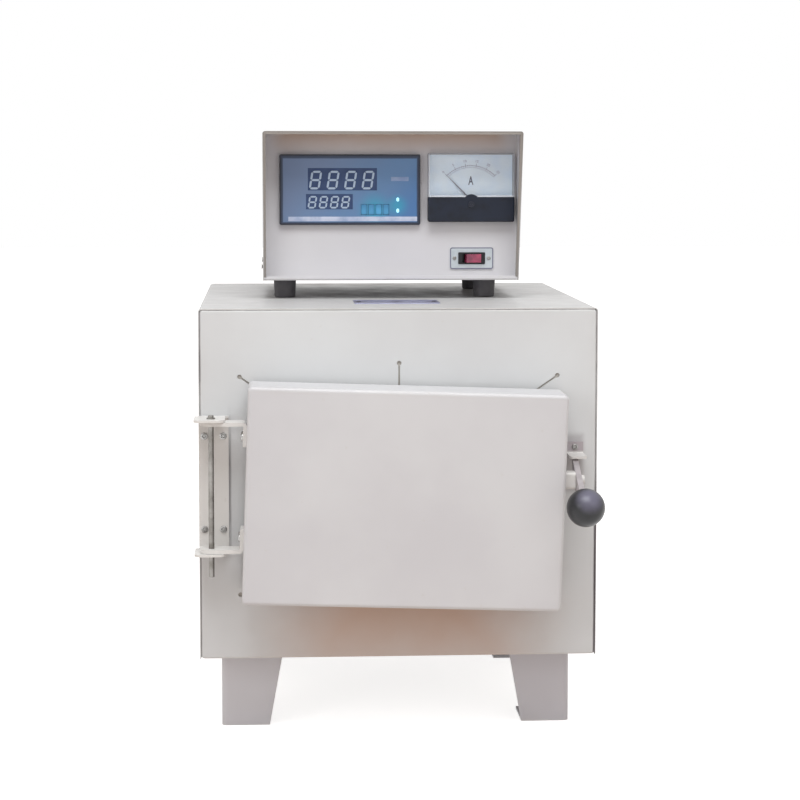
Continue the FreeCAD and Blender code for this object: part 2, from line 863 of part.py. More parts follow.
def make_gland(seat, out, sheet):
    """Hollow cable gland: hexagon and round cap outside the wall, a short neck through it.
    seat is on the wall's outer face and out points away from it."""
    inside = sheet + gland_neck_past
    neck_end = seat - out * inside
    cap_end = neck_end + out * gland_length
    cap = rod(gland_cap_diameter, seat + out * gland_nut_height, cap_end)
    crown = [e for e in cap.Edges if (e.BoundBox.Center - cap_end).Length < close]
    cap = cap.makeFillet(gland_cap_round, crown)
    nut = hexagon(seat, gland_nut, out * gland_nut_height)
    gland = nut.fuse([cap, rod(gland_neck, neck_end, seat)]).removeSplitter()
    return drill(gland, gland_bore_diameter, neck_end, out * gland_length)


# Hinge


def make_hinge_bracket():
    """Strip bent to a plate with an ear at each end; the ears carry the rod."""
    ear_y = front_y - ear_reach
    bend_y = front_y - hinge_sheet - hinge_bend
    left = -side_x - ear_overhang
    right = -side_x + hinge_plate_width
    corners = [(ear_y, ear_low_z), (front_y, ear_low_z), (front_y, ear_high_z), (ear_y, ear_high_z)]
    face = strip_face(corners, hinge_sheet, hinge_bend, lambda p: Vector(left, p.x, p.y))
    ears = box(left, left + ear_width, ear_y, bend_y, ear_low_z, ear_high_z)
    tips = [e for e in straight_edges(ears, Vector(0, 0, 1)) if e.BoundBox.YMax < ear_y + close]
    ears = ears.makeFillet(ear_corner, tips)
    plate = box(-side_x, right, bend_y, front_y, ear_low_z, ear_high_z)
    bracket = face.extrude(Vector(right - left, 0, 0)).common(ears.fuse(plate))
    bracket = drill(bracket, rod_diameter + 2 * running_fit, Vector(rod_x, rod_y, ear_low_z),
                    Vector(0, 0, ear_high_z - ear_low_z))
    for point in hinge_screw_points():
        bracket = drill(bracket, screw_hole(hinge_screw_diameter), point, Vector(0, -hinge_sheet, 0))
    return bracket.removeSplitter()


def make_hinge_rod():
    """Plain rod with a small collar that rests on the upper ear."""
    seat = Vector(rod_x, rod_y, ear_high_z)
    pin = rod(rod_diameter, Vector(rod_x, rod_y, ear_low_z - rod_below), seat + Vector(0, 0, rod_above))
    pin = pin.makeChamfer(rod_chamfer, [e for e in pin.Edges if e.BoundBox.ZLength < close])
    return pin.fuse(rod(collar_diameter, seat, seat + Vector(0, 0, collar_height))).removeSplitter()


def make_panel_screws():
    """Four screws of the hinge bracket and the one of the keeper."""
    out = Vector(0, -1, 0)
    screws = [round_screw(keeper_screw_head, keeper_screw_head_height, keeper_screw_diameter,
                          keeper_sheet + panel_sheet, keeper_screw_place + out * keeper_sheet, out)]
    for point in hinge_screw_points():
        screws.append(round_screw(hinge_screw_head, hinge_screw_head_height, hinge_screw_diameter,
                                  hinge_sheet + panel_sheet, point + out * hinge_sheet, out))
    return Part.makeCompound(screws)


def arm_root(upper):
    """Height of an arm's leaf on the side that the tab turns away from, and the tab's way up or down."""
    return (arm_high_z, -1) if upper else (arm_low_z, 1)


def flange_run(z):
    """How far along the hung door's left flange, up from the mouth's axis, a height is reached."""
    return (z - axis_z + door_left * sag_sin) / sag_cos


def arm_rivet_points(upper):
    """Rivet places on the left flange's outside, before the door is hung."""
    z, up = arm_root(upper)
    run = axis_z + flange_run(z) + up * arm_rivet_from_leaf
    return [Vector(door_left, rod_y + side * arm_rivet_spacing / 2, run) for side in (-1, 1)]


def make_arm(upper):
    """Flat hinge arm: a round end on the rod, and a tab bent along the hung door's left flange."""
    z, up = arm_root(upper)
    root_x = door_left * sag_cos + flange_run(z) * sag_sin
    corners = [(rod_x, z), (root_x, z), (root_x + up * arm_tab * sag_sin, z + up * arm_tab * sag_cos)]
    if upper:
        corners.reverse()
    face = strip_face(corners, arm_sheet, arm_bend, lambda p: Vector(p.x, rod_y - arm_width / 2, p.y))
    start = Vector(rod_x, rod_y, z)
    thick = Vector(0, 0, up * arm_sheet)
    arm = face.extrude(Vector(0, arm_width, 0)).fuse(rod(arm_width, start, start + thick))
    arm = drill(arm, rod_diameter + 2 * running_fit, start, thick)
    for point in arm_rivet_points(upper):
        arm = arm.cut(hang(rod(rivet_diameter, point - Vector(arm_sheet + cutter_past, 0, 0),
                               point + Vector(cutter_past, 0, 0))))
    return arm.removeSplitter()


def make_door_rivets():
    """Rivets that hold the two hinge arms to the door's flange."""
    rivets = []
    for upper in (False, True):
        for point in arm_rivet_points(upper):
            rivets.append(round_screw(rivet_head_diameter, rivet_head, rivet_diameter, arm_sheet + door_sheet,
                                      point - Vector(arm_sheet, 0, 0), Vector(-1, 0, 0)))
    return hang(Part.makeCompound(rivets))


# Door


def make_door_pan():
    """Folded pan with the rivet holes in its left flange."""
    door = pan(door_edges, door_face_y, door_rim_y, door_sheet, door_corner, door_bend)
    for upper in (False, True):
        for point in arm_rivet_points(upper):
            door = drill(door, rivet_diameter, point, Vector(door_sheet, 0, 0))
    return hang(door)


def plug_half(depth):
    """Half width and half height of the plug at a depth behind the front panel's face."""
    across, up = mouth_half(depth)
    return (across - plug_clearance, up - plug_clearance)


def plug_root_block(y0, y1):
    """Block between two depths with the outline of the plug's root."""
    across, up = plug_half(0)
    return slab(around(0, axis_z, 2 * across, 2 * up), y0, y1)


def make_door_backing():
    """Plate that closes the pan, with the plug standing through it."""
    front = backing_y - door_sheet
    plate = rounded_slab(wider(door_edges, -door_sheet), front, backing_y, door_corner - door_sheet)
    return hang(plate.cut(plug_root_block(front - cutter_past, backing_y + cutter_past)))


def make_door_lining():
    """Fibre slab that fills the pan, with a pocket for the plug's root."""
    rear = backing_y - door_sheet
    fibre = slab(wider(door_edges, -door_bend), door_face_y + door_sheet, rear)
    return hang(fibre.cut(plug_root_block(rear - plug_root, rear + cutter_past)))


def make_door_plug():
    """Refractory plug: a straight root in the door and a tapered nose in the furnace's mouth."""
    root = plug_root_block(backing_y - door_sheet - plug_root, front_y)
    nose = frustum_block(front_y, plug_half(0), front_y + plug_reach, plug_half(plug_reach))
    return hang(root.fuse(nose).removeSplitter())


def make_door_gasket():
    """Flat fibre ring on the backing plate, just clear of the front panel."""
    opening = around(0, axis_z, panel_opening_width, panel_opening_height)
    inner = wider(opening, gasket_margin)
    rear = front_y - moving_gap
    ring = rounded_slab(wider(inner, gasket_width), backing_y, rear, gasket_corner + gasket_width)
    return hang(ring.cut(rounded_slab(inner, backing_y - cutter_past, rear + cutter_past, gasket_corner)))


# Latch


def make_latch_boss():
    """Block on the hung door's right flange with the pin that the lever turns on."""
    half = latch_boss_size / 2
    pin_start = Vector(lever_x0 - moving_gap, latch_y, latch_z)
    pin_end = Vector(lever_x1 + latch_pin_past, latch_y, latch_z)
    head_start = Vector(lever_x1 + moving_gap, latch_y, latch_z)
    block = box(door_right - latch_boss_width, pin_start.x, latch_y - half, latch_y + half,
                latch_z - half, latch_z + half)
    block = block.makeFillet(latch_boss_corner, straight_edges(block, Vector(1, 0, 0)))
    block = block.cut(hang(slab(door_edges, door_face_y, door_rim_y)))
    pin = rod(latch_pin_diameter, pin_start, pin_end)
    return block.fuse([pin, rod(latch_pin_head, head_start, pin_end)]).removeSplitter()


def make_latch_lever():
    """Flat lever: nose up and back under the keeper's ledge, arm forward to the ball."""
    pivot = (latch_y, latch_z)
    tip = (latch_y + lever_nose_back, ledge_z - keeper_sheet - latch_gap - lever_nose_radius)
    neck = ball_centre - lever_way * (ball_radius + lever_arm_radius)
    nose = tapered_bar(pivot, lever_hub_radius, tip, lever_nose_radius, lever_x0, lever_x1)
    arm = tapered_bar(pivot, lever_hub_radius, (neck.y, neck.z), lever_arm_radius, lever_x0, lever_x1)
    stud = rod(lever_stud_diameter, neck, ball_centre - lever_way * (ball_radius - lever_stud_in_ball))
    lever = drill(nose.fuse([arm, stud]), latch_pin_diameter + 2 * running_fit,
                  Vector(lever_x0, latch_y, latch_z), Vector(lever_width, 0, 0))
    return lever.removeSplitter()


def make_ball_knob():
    """Moulded ball with a flat where the lever's stud goes in."""
    flat = math.sqrt(ball_radius ** 2 - (ball_neck_diameter / 2) ** 2)
    outside = ball_centre - lever_way * (ball_radius + cutter_past)
    ball = Part.makeSphere(ball_radius, ball_centre)
    ball = ball.cut(rod(ball_diameter, outside, ball_centre - lever_way * flat))
    stud_end = ball_centre - lever_way * (ball_radius - lever_stud_in_ball)
    return ball.cut(rod(lever_stud_diameter, outside, stud_end))


def make_keeper():
    """Small angle: its plate screwed to the panel, its ledge forward over the lever's nose."""
    tip_y = front_y - keeper_ledge_reach
    low = ledge_z - keeper_sheet
    corners = [(tip_y, low), (front_y, low), (front_y, ledge_z + keeper_plate_height)]
    face = strip_face(corners, keeper_sheet, keeper_bend, lambda p: Vector(keeper_x, p.x, p.y))
    keeper = face.extrude(Vector(keeper_width, 0, 0))
    tips = [e for e in straight_edges(keeper, Vector(0, 0, 1)) if e.BoundBox.YMax < tip_y + close]
    keeper = keeper.makeFillet(keeper_tip_corner, tips)
    return drill(keeper, screw_hole(keeper_screw_diameter), keeper_screw_place, Vector(0, -keeper_sheet, 0))


# Controller


def visor_prism():
    """The case's side outline: upright at the back, slanting forward at the top."""
    corners = [Vector(-case_x, controller_y - visor_bottom, case_low),
               Vector(-case_x, controller_y - visor_top, case_high),
               Vector(-case_x, case_back, case_high), Vector(-case_x, case_back, case_low)]
    return prism(corners, Vector(case_width, 0, 0))


def case_filling(y0, y1, z0):
    """Block between the case's sides, from a height to its top, with the top's corners round."""
    high = case_high - case_sheet
    block = box(-case_inner_x, case_inner_x, y0, y1, z0, high)
    upper = [e for e in straight_edges(block, Vector(0, 1, 0)) if e.BoundBox.ZMin > high - close]
    return block.makeFillet(case_bend, upper)


def case_screw_points():
    """Places of the case screws, each with the way out of the case."""
    points = []
    for side in (-1, 1):
        for y in (controller_y + case_screw_inset, case_back - case_screw_inset):
            points.append((Vector(side * case_x, y, case_low + case_screw_up), Vector(side, 0, 0)))
    return points


def drill_case_screws(shape):
    """Holes through the case's sides and the chassis flanges inside them."""
    for point, out in case_screw_points():
        shape = drill(shape, screw_hole(case_screw_diameter), point, out * -(case_sheet + chassis_sheet))
    return shape


def make_controller_case():
    """One sheet over the top and both sides, with vents; its front edges slant to form a visor."""
    front = controller_y - visor_top
    corners = [(case_x, case_low), (case_x, case_high), (-case_x, case_high), (-case_x, case_low)]
    face = strip_face(corners, case_sheet, case_bend, lambda p: Vector(p.x, front, p.y))
    shell = face.extrude(Vector(0, case_back - front, 0)).common(visor_prism())
    reach = case_x + cutter_past
    half_y = case_vent_width / 2
    low = case_low + case_vent_up - case_vent_length / 2
    for k in range(case_vents):
        y = controller_y + case_depth / 2 + (k - (case_vents - 1) / 2) * case_vent_pitch
        slot = box(-reach, reach, y - half_y, y + half_y, low, low + case_vent_length)
        shell = shell.cut(slot.makeFillet(case_vent_corner, straight_edges(slot, Vector(1, 0, 0))))
    return drill_case_screws(shell)


def gland_place(side):
    return Vector(side * controller_gland_spacing / 2, case_back, case_low + controller_gland_up)


def make_controller_chassis():
    """Floor and rear wall bent from one sheet, a low lip in front and a flange along each side."""
    front = controller_y - visor_bottom
    corners = [(front, case_low + chassis_lip), (front, case_low), (case_back, case_low),
               (case_back, case_high - case_sheet)]
    face = strip_face(corners, chassis_sheet, chassis_bend, lambda p: Vector(-case_inner_x, p.x, p.y))
    chassis = face.extrude(Vector(2 * case_inner_x, 0, 0)).common(case_filling(front, case_back, case_low))
    flange_front = controller_y + control_panel_sheet
    for side in (-1, 1):
        flange = box(side * case_inner_x, side * (case_inner_x - chassis_sheet), flange_front,
                     case_back - chassis_sheet, chassis_floor, case_low + chassis_flange)
        chassis = drill(chassis.fuse(flange), screw_hole(gland_neck), gland_place(side),
                        Vector(0, -chassis_sheet, 0))
    return drill_case_screws(chassis)


def make_controller_panel():
    """Plate with the holes of the instrument, the ammeter and the switch."""
    rear = controller_y + control_panel_sheet
    through = Vector(0, control_panel_sheet, 0)
    panel = case_filling(controller_y, rear, chassis_floor)
    for edges in (instrument_edges(bezel_rim + bezel_ledge), switch_body_edges()):
        panel = window(panel, wider(edges, screw_clearance), controller_y, rear)
    panel = drill(panel, screw_hole(meter_barrel_diameter), meter_centre, through)
    for point in switch_screw_points():
        panel = drill(panel, screw_hole(switch_screw_diameter), point, through)
    return panel


def make_feet():
    """Four tapered rubber feet with a soft lower edge."""
    feet = []
    low = case_low - foot_height
    for side in (-1, 1):
        for y in (controller_y + foot_from_front, case_back - foot_from_rear):
            place = Vector(foot_shift + side * foot_spacing / 2, y, low)
            foot = Part.makeCone(foot_bottom_diameter / 2, foot_top_diameter / 2, foot_height, place)
            feet.append(foot.makeFillet(foot_round, [e for e in foot.Edges if e.BoundBox.ZMax < low + close]))
    return Part.makeCompound(feet)


def make_controller_screws():
    """Screws of the case's sides and of the switch plate."""
    screws = []
    for point, out in case_screw_points():
        screws.append(round_screw(case_screw_head, case_screw_head_height, case_screw_diameter,
                                  case_sheet + chassis_sheet, point, out))
    for point in switch_screw_points():
        screws.append(round_screw(switch_screw_head, switch_screw_head_height, switch_screw_diameter,
                                  switch_plate_thick + control_panel_sheet,
                                  point - Vector(0, switch_plate_thick, 0), Vector(0, -1, 0)))
    return Part.makeCompound(screws)


# Temperature instrument


def instrument_edges(inset):
    """Edges of the instrument's outline, moved inwards."""
    outline = around(instrument_across, case_low + instrument_up, instrument_width, instrument_height)
    return wider(outline, -inset)


def on_instrument(across, up, width, height):
    """Edges of a rectangle about a place on the instrument."""
    return around(instrument_across + across, case_low + instrument_up + up, width, height)


def display_edges():
    return [
        on_instrument(upper_display_across, upper_display_up, upper_display_width, upper_display_height),
        on_instrument(lower_display_across, lower_display_up, lower_display_width, lower_display_height),
    ]


def key_edges(index):
    across = key_across + (index - (key_count - 1) / 2) * key_pitch
    return on_instrument(across, key_up, key_width, key_height)


def make_instrument_bezel():
    """Moulded frame: a rim round the face and a ledge behind it."""
    frame = rounded_slab(instrument_edges(0), bezel_y, controller_y, bezel_corner)
    frame = frame.makeFillet(bezel_round, edges_at_y(frame, bezel_y))
    frame = frame.cut(slab(instrument_edges(bezel_rim), bezel_y - cutter_past, face_back_y))
    return window(frame, instrument_edges(bezel_rim + bezel_ledge), face_back_y, controller_y)


def make_instrument_housing():
    return slab(instrument_edges(bezel_rim + bezel_ledge), housing_y, controller_y + instrument_depth)


def make_instrument_face():
    """Plate with the two display windows and a hole for each key."""
    plate = slab(instrument_edges(bezel_rim), face_y, face_back_y)
    for edges in display_edges():
        plate = window(plate, edges, face_y, face_back_y)
    for index in range(key_count):
        plate = window(plate, wider(key_edges(index), moving_gap), face_y, face_back_y)
    return plate


def make_displays():
    """Two smoked display modules behind the face, their lenses just under the face's front."""
    return Part.makeCompound([slab(edges, face_y + lens_recess, housing_y) for edges in display_edges()])


def make_key(index):
    front = face_y - key_proud
    key = rounded_slab(key_edges(index), front, face_back_y + key_foot, key_corner)
    return key.makeFillet(key_round, edges_at_y(key, front))


# Ammeter


def meter_edges(inset):
    """Edges of the meter's outline, moved inwards."""
    return wider(around(meter_centre.x, meter_centre.z, meter_width, meter_height), -inset)


def make_meter_case():
    """Shallow tray that the dial rests on, with the round barrel of the movement behind it."""
    tray = rounded_slab(meter_edges(tray_inset), tray_y, controller_y, tray_corner)
    pocket = slab(meter_edges(tray_inset + meter_sheet), tray_y - cutter_past, controller_y - meter_sheet)
    barrel_end = meter_centre + Vector(0, meter_barrel_depth, 0)
    barrel = rod(meter_barrel_diameter, meter_centre, barrel_end)
    barrel = barrel.makeFillet(meter_barrel_round, edges_at_y(barrel, barrel_end.y))
    return tray.cut(pocket).fuse(barrel).removeSplitter()


def make_meter_dial():
    """Thin dial plate with the pin that the pointer turns on."""
    plate = rounded_slab(meter_edges(tray_inset), dial_y, tray_y, tray_corner)
    pin = rod(pointer_pin_diameter, pointer_pivot - Vector(0, pointer_pin_length, 0), pointer_pivot)
    return plate.fuse(pin).removeSplitter()


def meter_cap():
    """Hollow front cap of the meter, down to the panel, before it is split into window and cover."""
    return pan(meter_edges(0), meter_front_y, controller_y, meter_sheet, meter_corner, meter_round)


def cover_region():
    """The band at the bottom of the cap, with a half-round bump at the middle of its top edge."""
    x0, x1, low, high = wider(meter_edges(0), cutter_past)
    front = meter_front_y - cutter_past
    line = low + cutter_past + meter_cover_height
    bump = Vector(meter_centre.x, front, line + meter_bump_rise - meter_bump_radius)
    band = box(x0, x1, front, controller_y + cutter_past, low, line)
    return band.fuse(rod(2 * meter_bump_radius, bump, Vector(bump.x, controller_y, bump.z)))


def make_meter_window():
    return meter_cap().cut(cover_region())


def make_meter_cover():
    """Black lower part of the cap with the hole of the zero screw."""
    cover = meter_cap().common(cover_region())
    return drill(cover, zero_shank_diameter + 2 * running_fit, zero_place, Vector(0, meter_sheet, 0))


def make_meter_pointer():
    """Flat needle with a counterweight tail and a hub, at rest left of upright."""
    front = dial_y - pointer_ahead
    half = pointer_width / 2
    half_tail = pointer_tail_width / 2
    outline = [(-half_tail, -pointer_tail), (half_tail, -pointer_tail), (half, pointer_shoulder),
               (0, pointer_length), (-half, pointer_shoulder)]
    corners = [Vector(pointer_pivot.x + x, front, pointer_pivot.z + z) for x, z in outline]
    hub_front = Vector(pointer_pivot.x, front - pointer_hub_proud, pointer_pivot.z)
    hub_run = pointer_pivot - Vector(0, moving_gap, 0) - hub_front
    hub = rod(pointer_hub_diameter, hub_front, hub_front + hub_run)
    pointer = prism(corners, Vector(0, pointer_thick, 0)).fuse(hub)
    pointer = drill(pointer, pointer_pin_diameter + 2 * running_fit, hub_front, hub_run)
    pointer.rotate(pointer_pivot, Vector(0, 1, 0), -pointer_rest_angle)
    return pointer.removeSplitter()


def make_zero_screw():
    """Plastic screw with a slot, its shank in the black cover."""
    seat = zero_place - Vector(0, moving_gap, 0)
    front = seat - Vector(0, zero_screw_head, 0)
    shank_end = zero_place + Vector(0, meter_sheet + zero_shank_past, 0)
    shank = rod(zero_shank_diameter, seat, shank_end)
    screw = rod(zero_screw_diameter, front, seat).fuse(shank).removeSplitter()
    slot = around(front.x, front.z, 2 * zero_screw_diameter, zero_screw_slot)
    return screw.cut(slab(slot, front.y - cutter_past, front.y + zero_slot_depth))


# Power switch


def switch_body_edges():
    return around(switch_across, switch_z, switch_width - 2 * switch_rim, switch_height - 2 * switch_rim_up)


def switch_screw_points():
    half = switch_screw_spacing / 2
    return [Vector(switch_across + x, controller_y, switch_z) for x in (-half, half)]


def make_switch_plate():
    """Plate on the controller's panel with the switch's hole and two screw holes."""
    outline = around(switch_across, switch_z, switch_plate_width, switch_plate_height)
    plate = rounded_slab(outline, switch_plate_y, controller_y, switch_plate_corner)
    plate = window(plate, wider(switch_body_edges(), screw_clearance), switch_plate_y, controller_y)
    for point in switch_screw_points():
        plate = drill(plate, screw_hole(switch_screw_diameter), point, Vector(0, -switch_plate_thick, 0))
    return plate


def make_switch_body():
    """Black switch: a rim in front of the plate, and the body through it, hollow for the rocker."""
    outline = around(switch_across, switch_z, switch_width, switch_height)
    rim = rounded_slab(outline, switch_rim_y, switch_plate_y, switch_rim_corner)
    rim = rim.makeFillet(switch_rim_round, edges_at_y(rim, switch_rim_y))
    body = slab(switch_body_edges(), switch_plate_y, controller_y + switch_depth)
    tilt = math.radians(rocker_tilt)
    tip = rocker_width / 2 * math.cos(tilt) + (rocker_pivot.y - rocker_front_y) * math.sin(tilt)
    well_height = rocker_height + 2 * moving_gap
    well = slab(around(switch_across, switch_z, 2 * (tip + moving_gap), well_height),
                switch_rim_y - cutter_past, rocker_pivot.y + rocker_keel + rocker_room)
    pin_reach = Vector(0, 0, well_height / 2 + rocker_pin_seat)
    pin = rod(rocker_pin_diameter, rocker_pivot - pin_reach, rocker_pivot + pin_reach)
    return rim.fuse(body).cut(well).fuse(pin).removeSplitter()


def make_rocker():
    """Rocker with a shallow valley across its face, tipped to one side."""
    right = [(rocker_width / 2, rocker_front_y), (rocker_heel_width / 2, rocker_pivot.y + rocker_heel),
             (rocker_keel_width / 2, rocker_pivot.y + rocker_keel)]
    outline = [(0, rocker_front_y + rocker_valley)] + right + [(-x, y) for x, y in reversed(right)]
    low = switch_z - rocker_height / 2
    corners = [Vector(switch_across + x, y, low) for x, y in outline]
    up = Vector(0, 0, rocker_height)
    rocker = drill(prism(corners, up), rocker_pin_diameter + 2 * running_fit,
                   Vector(rocker_pivot.x, rocker_pivot.y, low), up)
    rocker.rotate(rocker_pivot, Vector(0, 0, 1), rocker_tilt)
    return rocker


# Inside the controller


def make_heat_sink():
    """Finned extrusion lying on its fins' tips, with the flat base on top for the module."""
    top = chassis_floor + sink_height
    fins = []
    for k in range(sink_fins):
        x = sink_x + k * (sink_width - sink_fin_thick) / (sink_fins - 1)
        fins.append(box(x, x + sink_fin_thick, sink_y, sink_y + sink_depth, chassis_floor, top - sink_base))
    base = box(sink_x, sink_x + sink_width, sink_y, sink_y + sink_depth, top - sink_base, top)
    return base.fuse(fins).removeSplitter()


def make_thyristor_module():
    """Module in the middle of the heat sink's base."""
    x = sink_x + (sink_width - module_width) / 2
    y = sink_y + (sink_depth - module_depth) / 2
    low = chassis_floor + sink_height
    block = box(x, x + module_width, y, y + module_depth, low, low + module_height)
    return block.makeFillet(module_corner, straight_edges(block, Vector(0, 0, 1)))


def make_terminal_strip():
    """Row of terminals on the floor at the rear left, stepped down along both sides of its rib."""
    x1 = strip_x + strip_width
    y1 = strip_y + strip_depth
    step = (strip_depth - strip_rib) / 2
    step_z = chassis_floor + strip_step_up
    foot = box(strip_x, x1, strip_y, y1, chassis_floor, step_z)
    rib = box(strip_x, x1, strip_y + step, y1 - step, step_z, chassis_floor + strip_height)
    return foot.fuse(rib).removeSplitter()


save("casing_shell", make_casing_shell())
save("front_panel", make_front_panel())
save("back_panel", make_back_panel())
save("base_plate", make_base_plate())
for side_name, side in (("left", -1), ("right", 1)):
    for end_name, end in (("front", -1), ("rear", 1)):
        save("leg_" + end_name + "_" + side_name, make_leg(side, end))
save("leg_bolts", make_leg_bolts())
save("muffle", make_muffle())
save("heating_elements", make_heating_elements())
save("mouth_brick", make_mouth_brick())
save("insulation", make_insulation())
save("thermocouple", make_thermocouple())
save("terminal_block", make_terminal_block())
save("terminal_cover", make_terminal_cover())
save("gland_furnace", make_gland(rear_gland_place, Vector(0, 0, -1), cover_sheet))
save("hinge_bracket", make_hinge_bracket())
save("hinge_rod", make_hinge_rod())
save("panel_screws", make_panel_screws())
save("keeper", make_keeper())
save("door_pan", make_door_pan())
save("door_backing", make_door_backing())
save("door_lining", make_door_lining())
save("door_plug", make_door_plug())
save("door_gasket", make_door_gasket())
save("door_arm_upper", make_arm(True))
save("door_arm_lower", make_arm(False))
save("door_rivets", make_door_rivets())
save("latch_boss", make_latch_boss())
save("latch_lever", make_latch_lever())
save("ball_knob", make_ball_knob())
save("controller_case", make_controller_case())
save("controller_screws", make_controller_screws())
save("controller_feet", make_feet())
save("controller_chassis", make_controller_chassis())
save("controller_panel", make_controller_panel())
save("instrument_bezel", make_instrument_bezel())
save("instrument_housing", make_instrument_housing())
save("instrument_face", make_instrument_face())
save("displays", make_displays())
for index in range(key_count):
    save("key_" + str(index + 1), make_key(index))
save("meter_case", make_meter_case())
save("meter_dial", make_meter_dial())
save("meter_window", make_meter_window())
save("meter_cover", make_meter_cover())
save("meter_pointer", make_meter_pointer())
save("zero_screw", make_zero_screw())
save("switch_plate", make_switch_plate())
save("switch_body", make_switch_body())
save("rocker", make_rocker())
save("heat_sink", make_heat_sink())
save("thyristor_module", make_thyristor_module())
save("terminal_strip", make_terminal_strip())
for gland_name, side in (("gland_supply", -1), ("gland_output", 1)):
    save(gland_name, make_gland(gland_place(side), Vector(0, 1, 0), chassis_sheet))
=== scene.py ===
import math
import bmesh
import bpy
import numpy as np
from mathutils import Matrix, Vector


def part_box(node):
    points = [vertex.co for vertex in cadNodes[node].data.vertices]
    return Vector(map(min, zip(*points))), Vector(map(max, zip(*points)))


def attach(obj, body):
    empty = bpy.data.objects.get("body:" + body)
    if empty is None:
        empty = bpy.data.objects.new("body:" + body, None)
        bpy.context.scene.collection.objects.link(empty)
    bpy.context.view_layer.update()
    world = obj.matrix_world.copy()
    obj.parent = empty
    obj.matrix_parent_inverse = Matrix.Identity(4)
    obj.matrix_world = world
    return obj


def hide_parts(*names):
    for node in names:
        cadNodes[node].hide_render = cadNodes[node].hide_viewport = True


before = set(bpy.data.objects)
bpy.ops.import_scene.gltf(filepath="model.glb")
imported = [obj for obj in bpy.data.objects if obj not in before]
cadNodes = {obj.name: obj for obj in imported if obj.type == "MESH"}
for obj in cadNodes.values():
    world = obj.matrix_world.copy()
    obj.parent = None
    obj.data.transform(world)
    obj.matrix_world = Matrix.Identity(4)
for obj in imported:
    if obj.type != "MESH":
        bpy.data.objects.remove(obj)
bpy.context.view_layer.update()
mm = 0.001
print("stage: frame loaded,", len(cadNodes), "nodes")


def inMetres(sizes):
    return [tuple(value * mm for value in size) for size in sizes]


def addObject(name, data):
    made = bpy.data.objects.new(name, data)
    bpy.context.scene.collection.objects.link(made)
    return made


def boxOf(node):
    # lowest corner, highest corner and middle of a node, as arrays
    low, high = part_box(node)
    low = np.array(low)
    high = np.array(high)
    return low, high, (low + high) / 2


# Camera, matched to the photograph's frame of 800 by 800

cameraLook = {
    "place": (-0.1369, -2.432, 0.6290),   # metres
    "yaw": 3.5,                           # degrees to the right
    "pitch": 4.6,                         # degrees down
    "roll": 0.06,
    "lens": 95.0,
    "shiftUp": -0.093,
}


def placeCamera(look):
    yaw = math.radians(look["yaw"])
    pitch = math.radians(look["pitch"])
    roll = math.radians(look["roll"])
    ahead = Vector((math.sin(yaw) * math.cos(pitch), math.cos(yaw) * math.cos(pitch), -math.sin(pitch)))
    level = Vector((math.cos(yaw), -math.sin(yaw), 0))
    above = level.cross(ahead)
    right = level * math.cos(roll) + above * math.sin(roll)
    up = above * math.cos(roll) - level * math.sin(roll)
    data = bpy.data.cameras.new("viewCamera")
    data.lens = look["lens"]
    data.shift_y = look["shiftUp"]
    data.clip_end = 50
    camera = addObject("viewCamera", data)
    turned = Matrix((right, up, -ahead)).transposed().to_4x4()
    camera.matrix_world = Matrix.Translation(look["place"]) @ turned
    bpy.context.scene.camera = camera


placeCamera(cameraLook)
print("stage: camera placed")


# Small helpers for node trees; they add to the tree that is being built

building = {"tree": None}


def colour(red, green, blue):
    # screen values 0 to 255, turned into linear light
    values = np.array([red, green, blue]) / 255
    linear = np.where(values <= 0.04045, values / 12.92, ((values + 0.055) / 1.055) ** 2.4)
    return (*[float(c) for c in linear], 1.0)


def feed(node, inputs):
    # a socket is linked, any other value is set on the input itself
    for name, value in inputs.items():
        if isinstance(value, bpy.types.NodeSocket):
            building["tree"].links.new(value, node.inputs[name])
        else:
            node.inputs[name].default_value = value


def addNode(kind, inputs=None, **settings):
    node = building["tree"].nodes.new("ShaderNode" + kind)
    for name, value in settings.items():
        setattr(node, name, value)
    feed(node, inputs or {})
    return node


def startTree(owner):
    # an empty node tree of a material or a world, for all helpers here until the next one is started
    owner.use_nodes = True
    building["tree"] = owner.node_tree
    owner.node_tree.nodes.clear()


def startMaterial(name):
    material = bpy.data.materials.new(name)
    startTree(material)
    shader = addNode("BsdfPrincipled")
    addNode("OutputMaterial", {0: shader.outputs[0]})
    return material, shader


def vectorMath(operation, first, second=(0, 0, 0)):
    node = addNode("VectorMath", {0: first, 1: second}, operation=operation)
    return node.outputs["Value" if operation in ("LENGTH", "DOT_PRODUCT") else "Vector"]


def objectPoint(stretch=(1, 1, 1), centre=(0, 0, 0), turn=0.0):
    # a point on the piece, in metres from the centre given, turned back by turn degrees about +Y
    point = addNode("TexCoord").outputs["Object"]
    moved = vectorMath("SUBTRACT", point, tuple(centre))
    inputs = {"Vector": moved, "Rotation": (0, -math.radians(turn), 0), "Scale": stretch}
    return addNode("Mapping", inputs).outputs[0]


def noise(point, perMetre, detail=3.0, rough=0.5):
    texture = {"Vector": point, "Scale": perMetre, "Detail": detail, "Roughness": rough}
    return addNode("TexNoise", texture).outputs[0]


def cells(point, perMetre):
    return addNode("TexVoronoi", {"Vector": point, "Scale": perMetre}).outputs[0]


def spread(value, low, high, toLow=0.0, toHigh=1.0):
    # low..high becomes toLow..toHigh along a smooth S
    inputs = {0: value, 1: low, 2: high, 3: toLow, 4: toHigh}
    return addNode("MapRange", inputs, interpolation_type="SMOOTHSTEP").outputs[0]


def arithmetic(operation, first, second=0.0):
    return addNode("Math", {0: first, 1: second}, operation=operation).outputs[0]


def times(first, second):
    return arithmetic("MULTIPLY", first, second)


def minus(first, second):
    return arithmetic("SUBTRACT", first, second)


def larger(first, second):
    return arithmetic("MAXIMUM", first, second)


def distanceFrom(centre):
    return vectorMath("LENGTH", objectPoint(centre=centre))


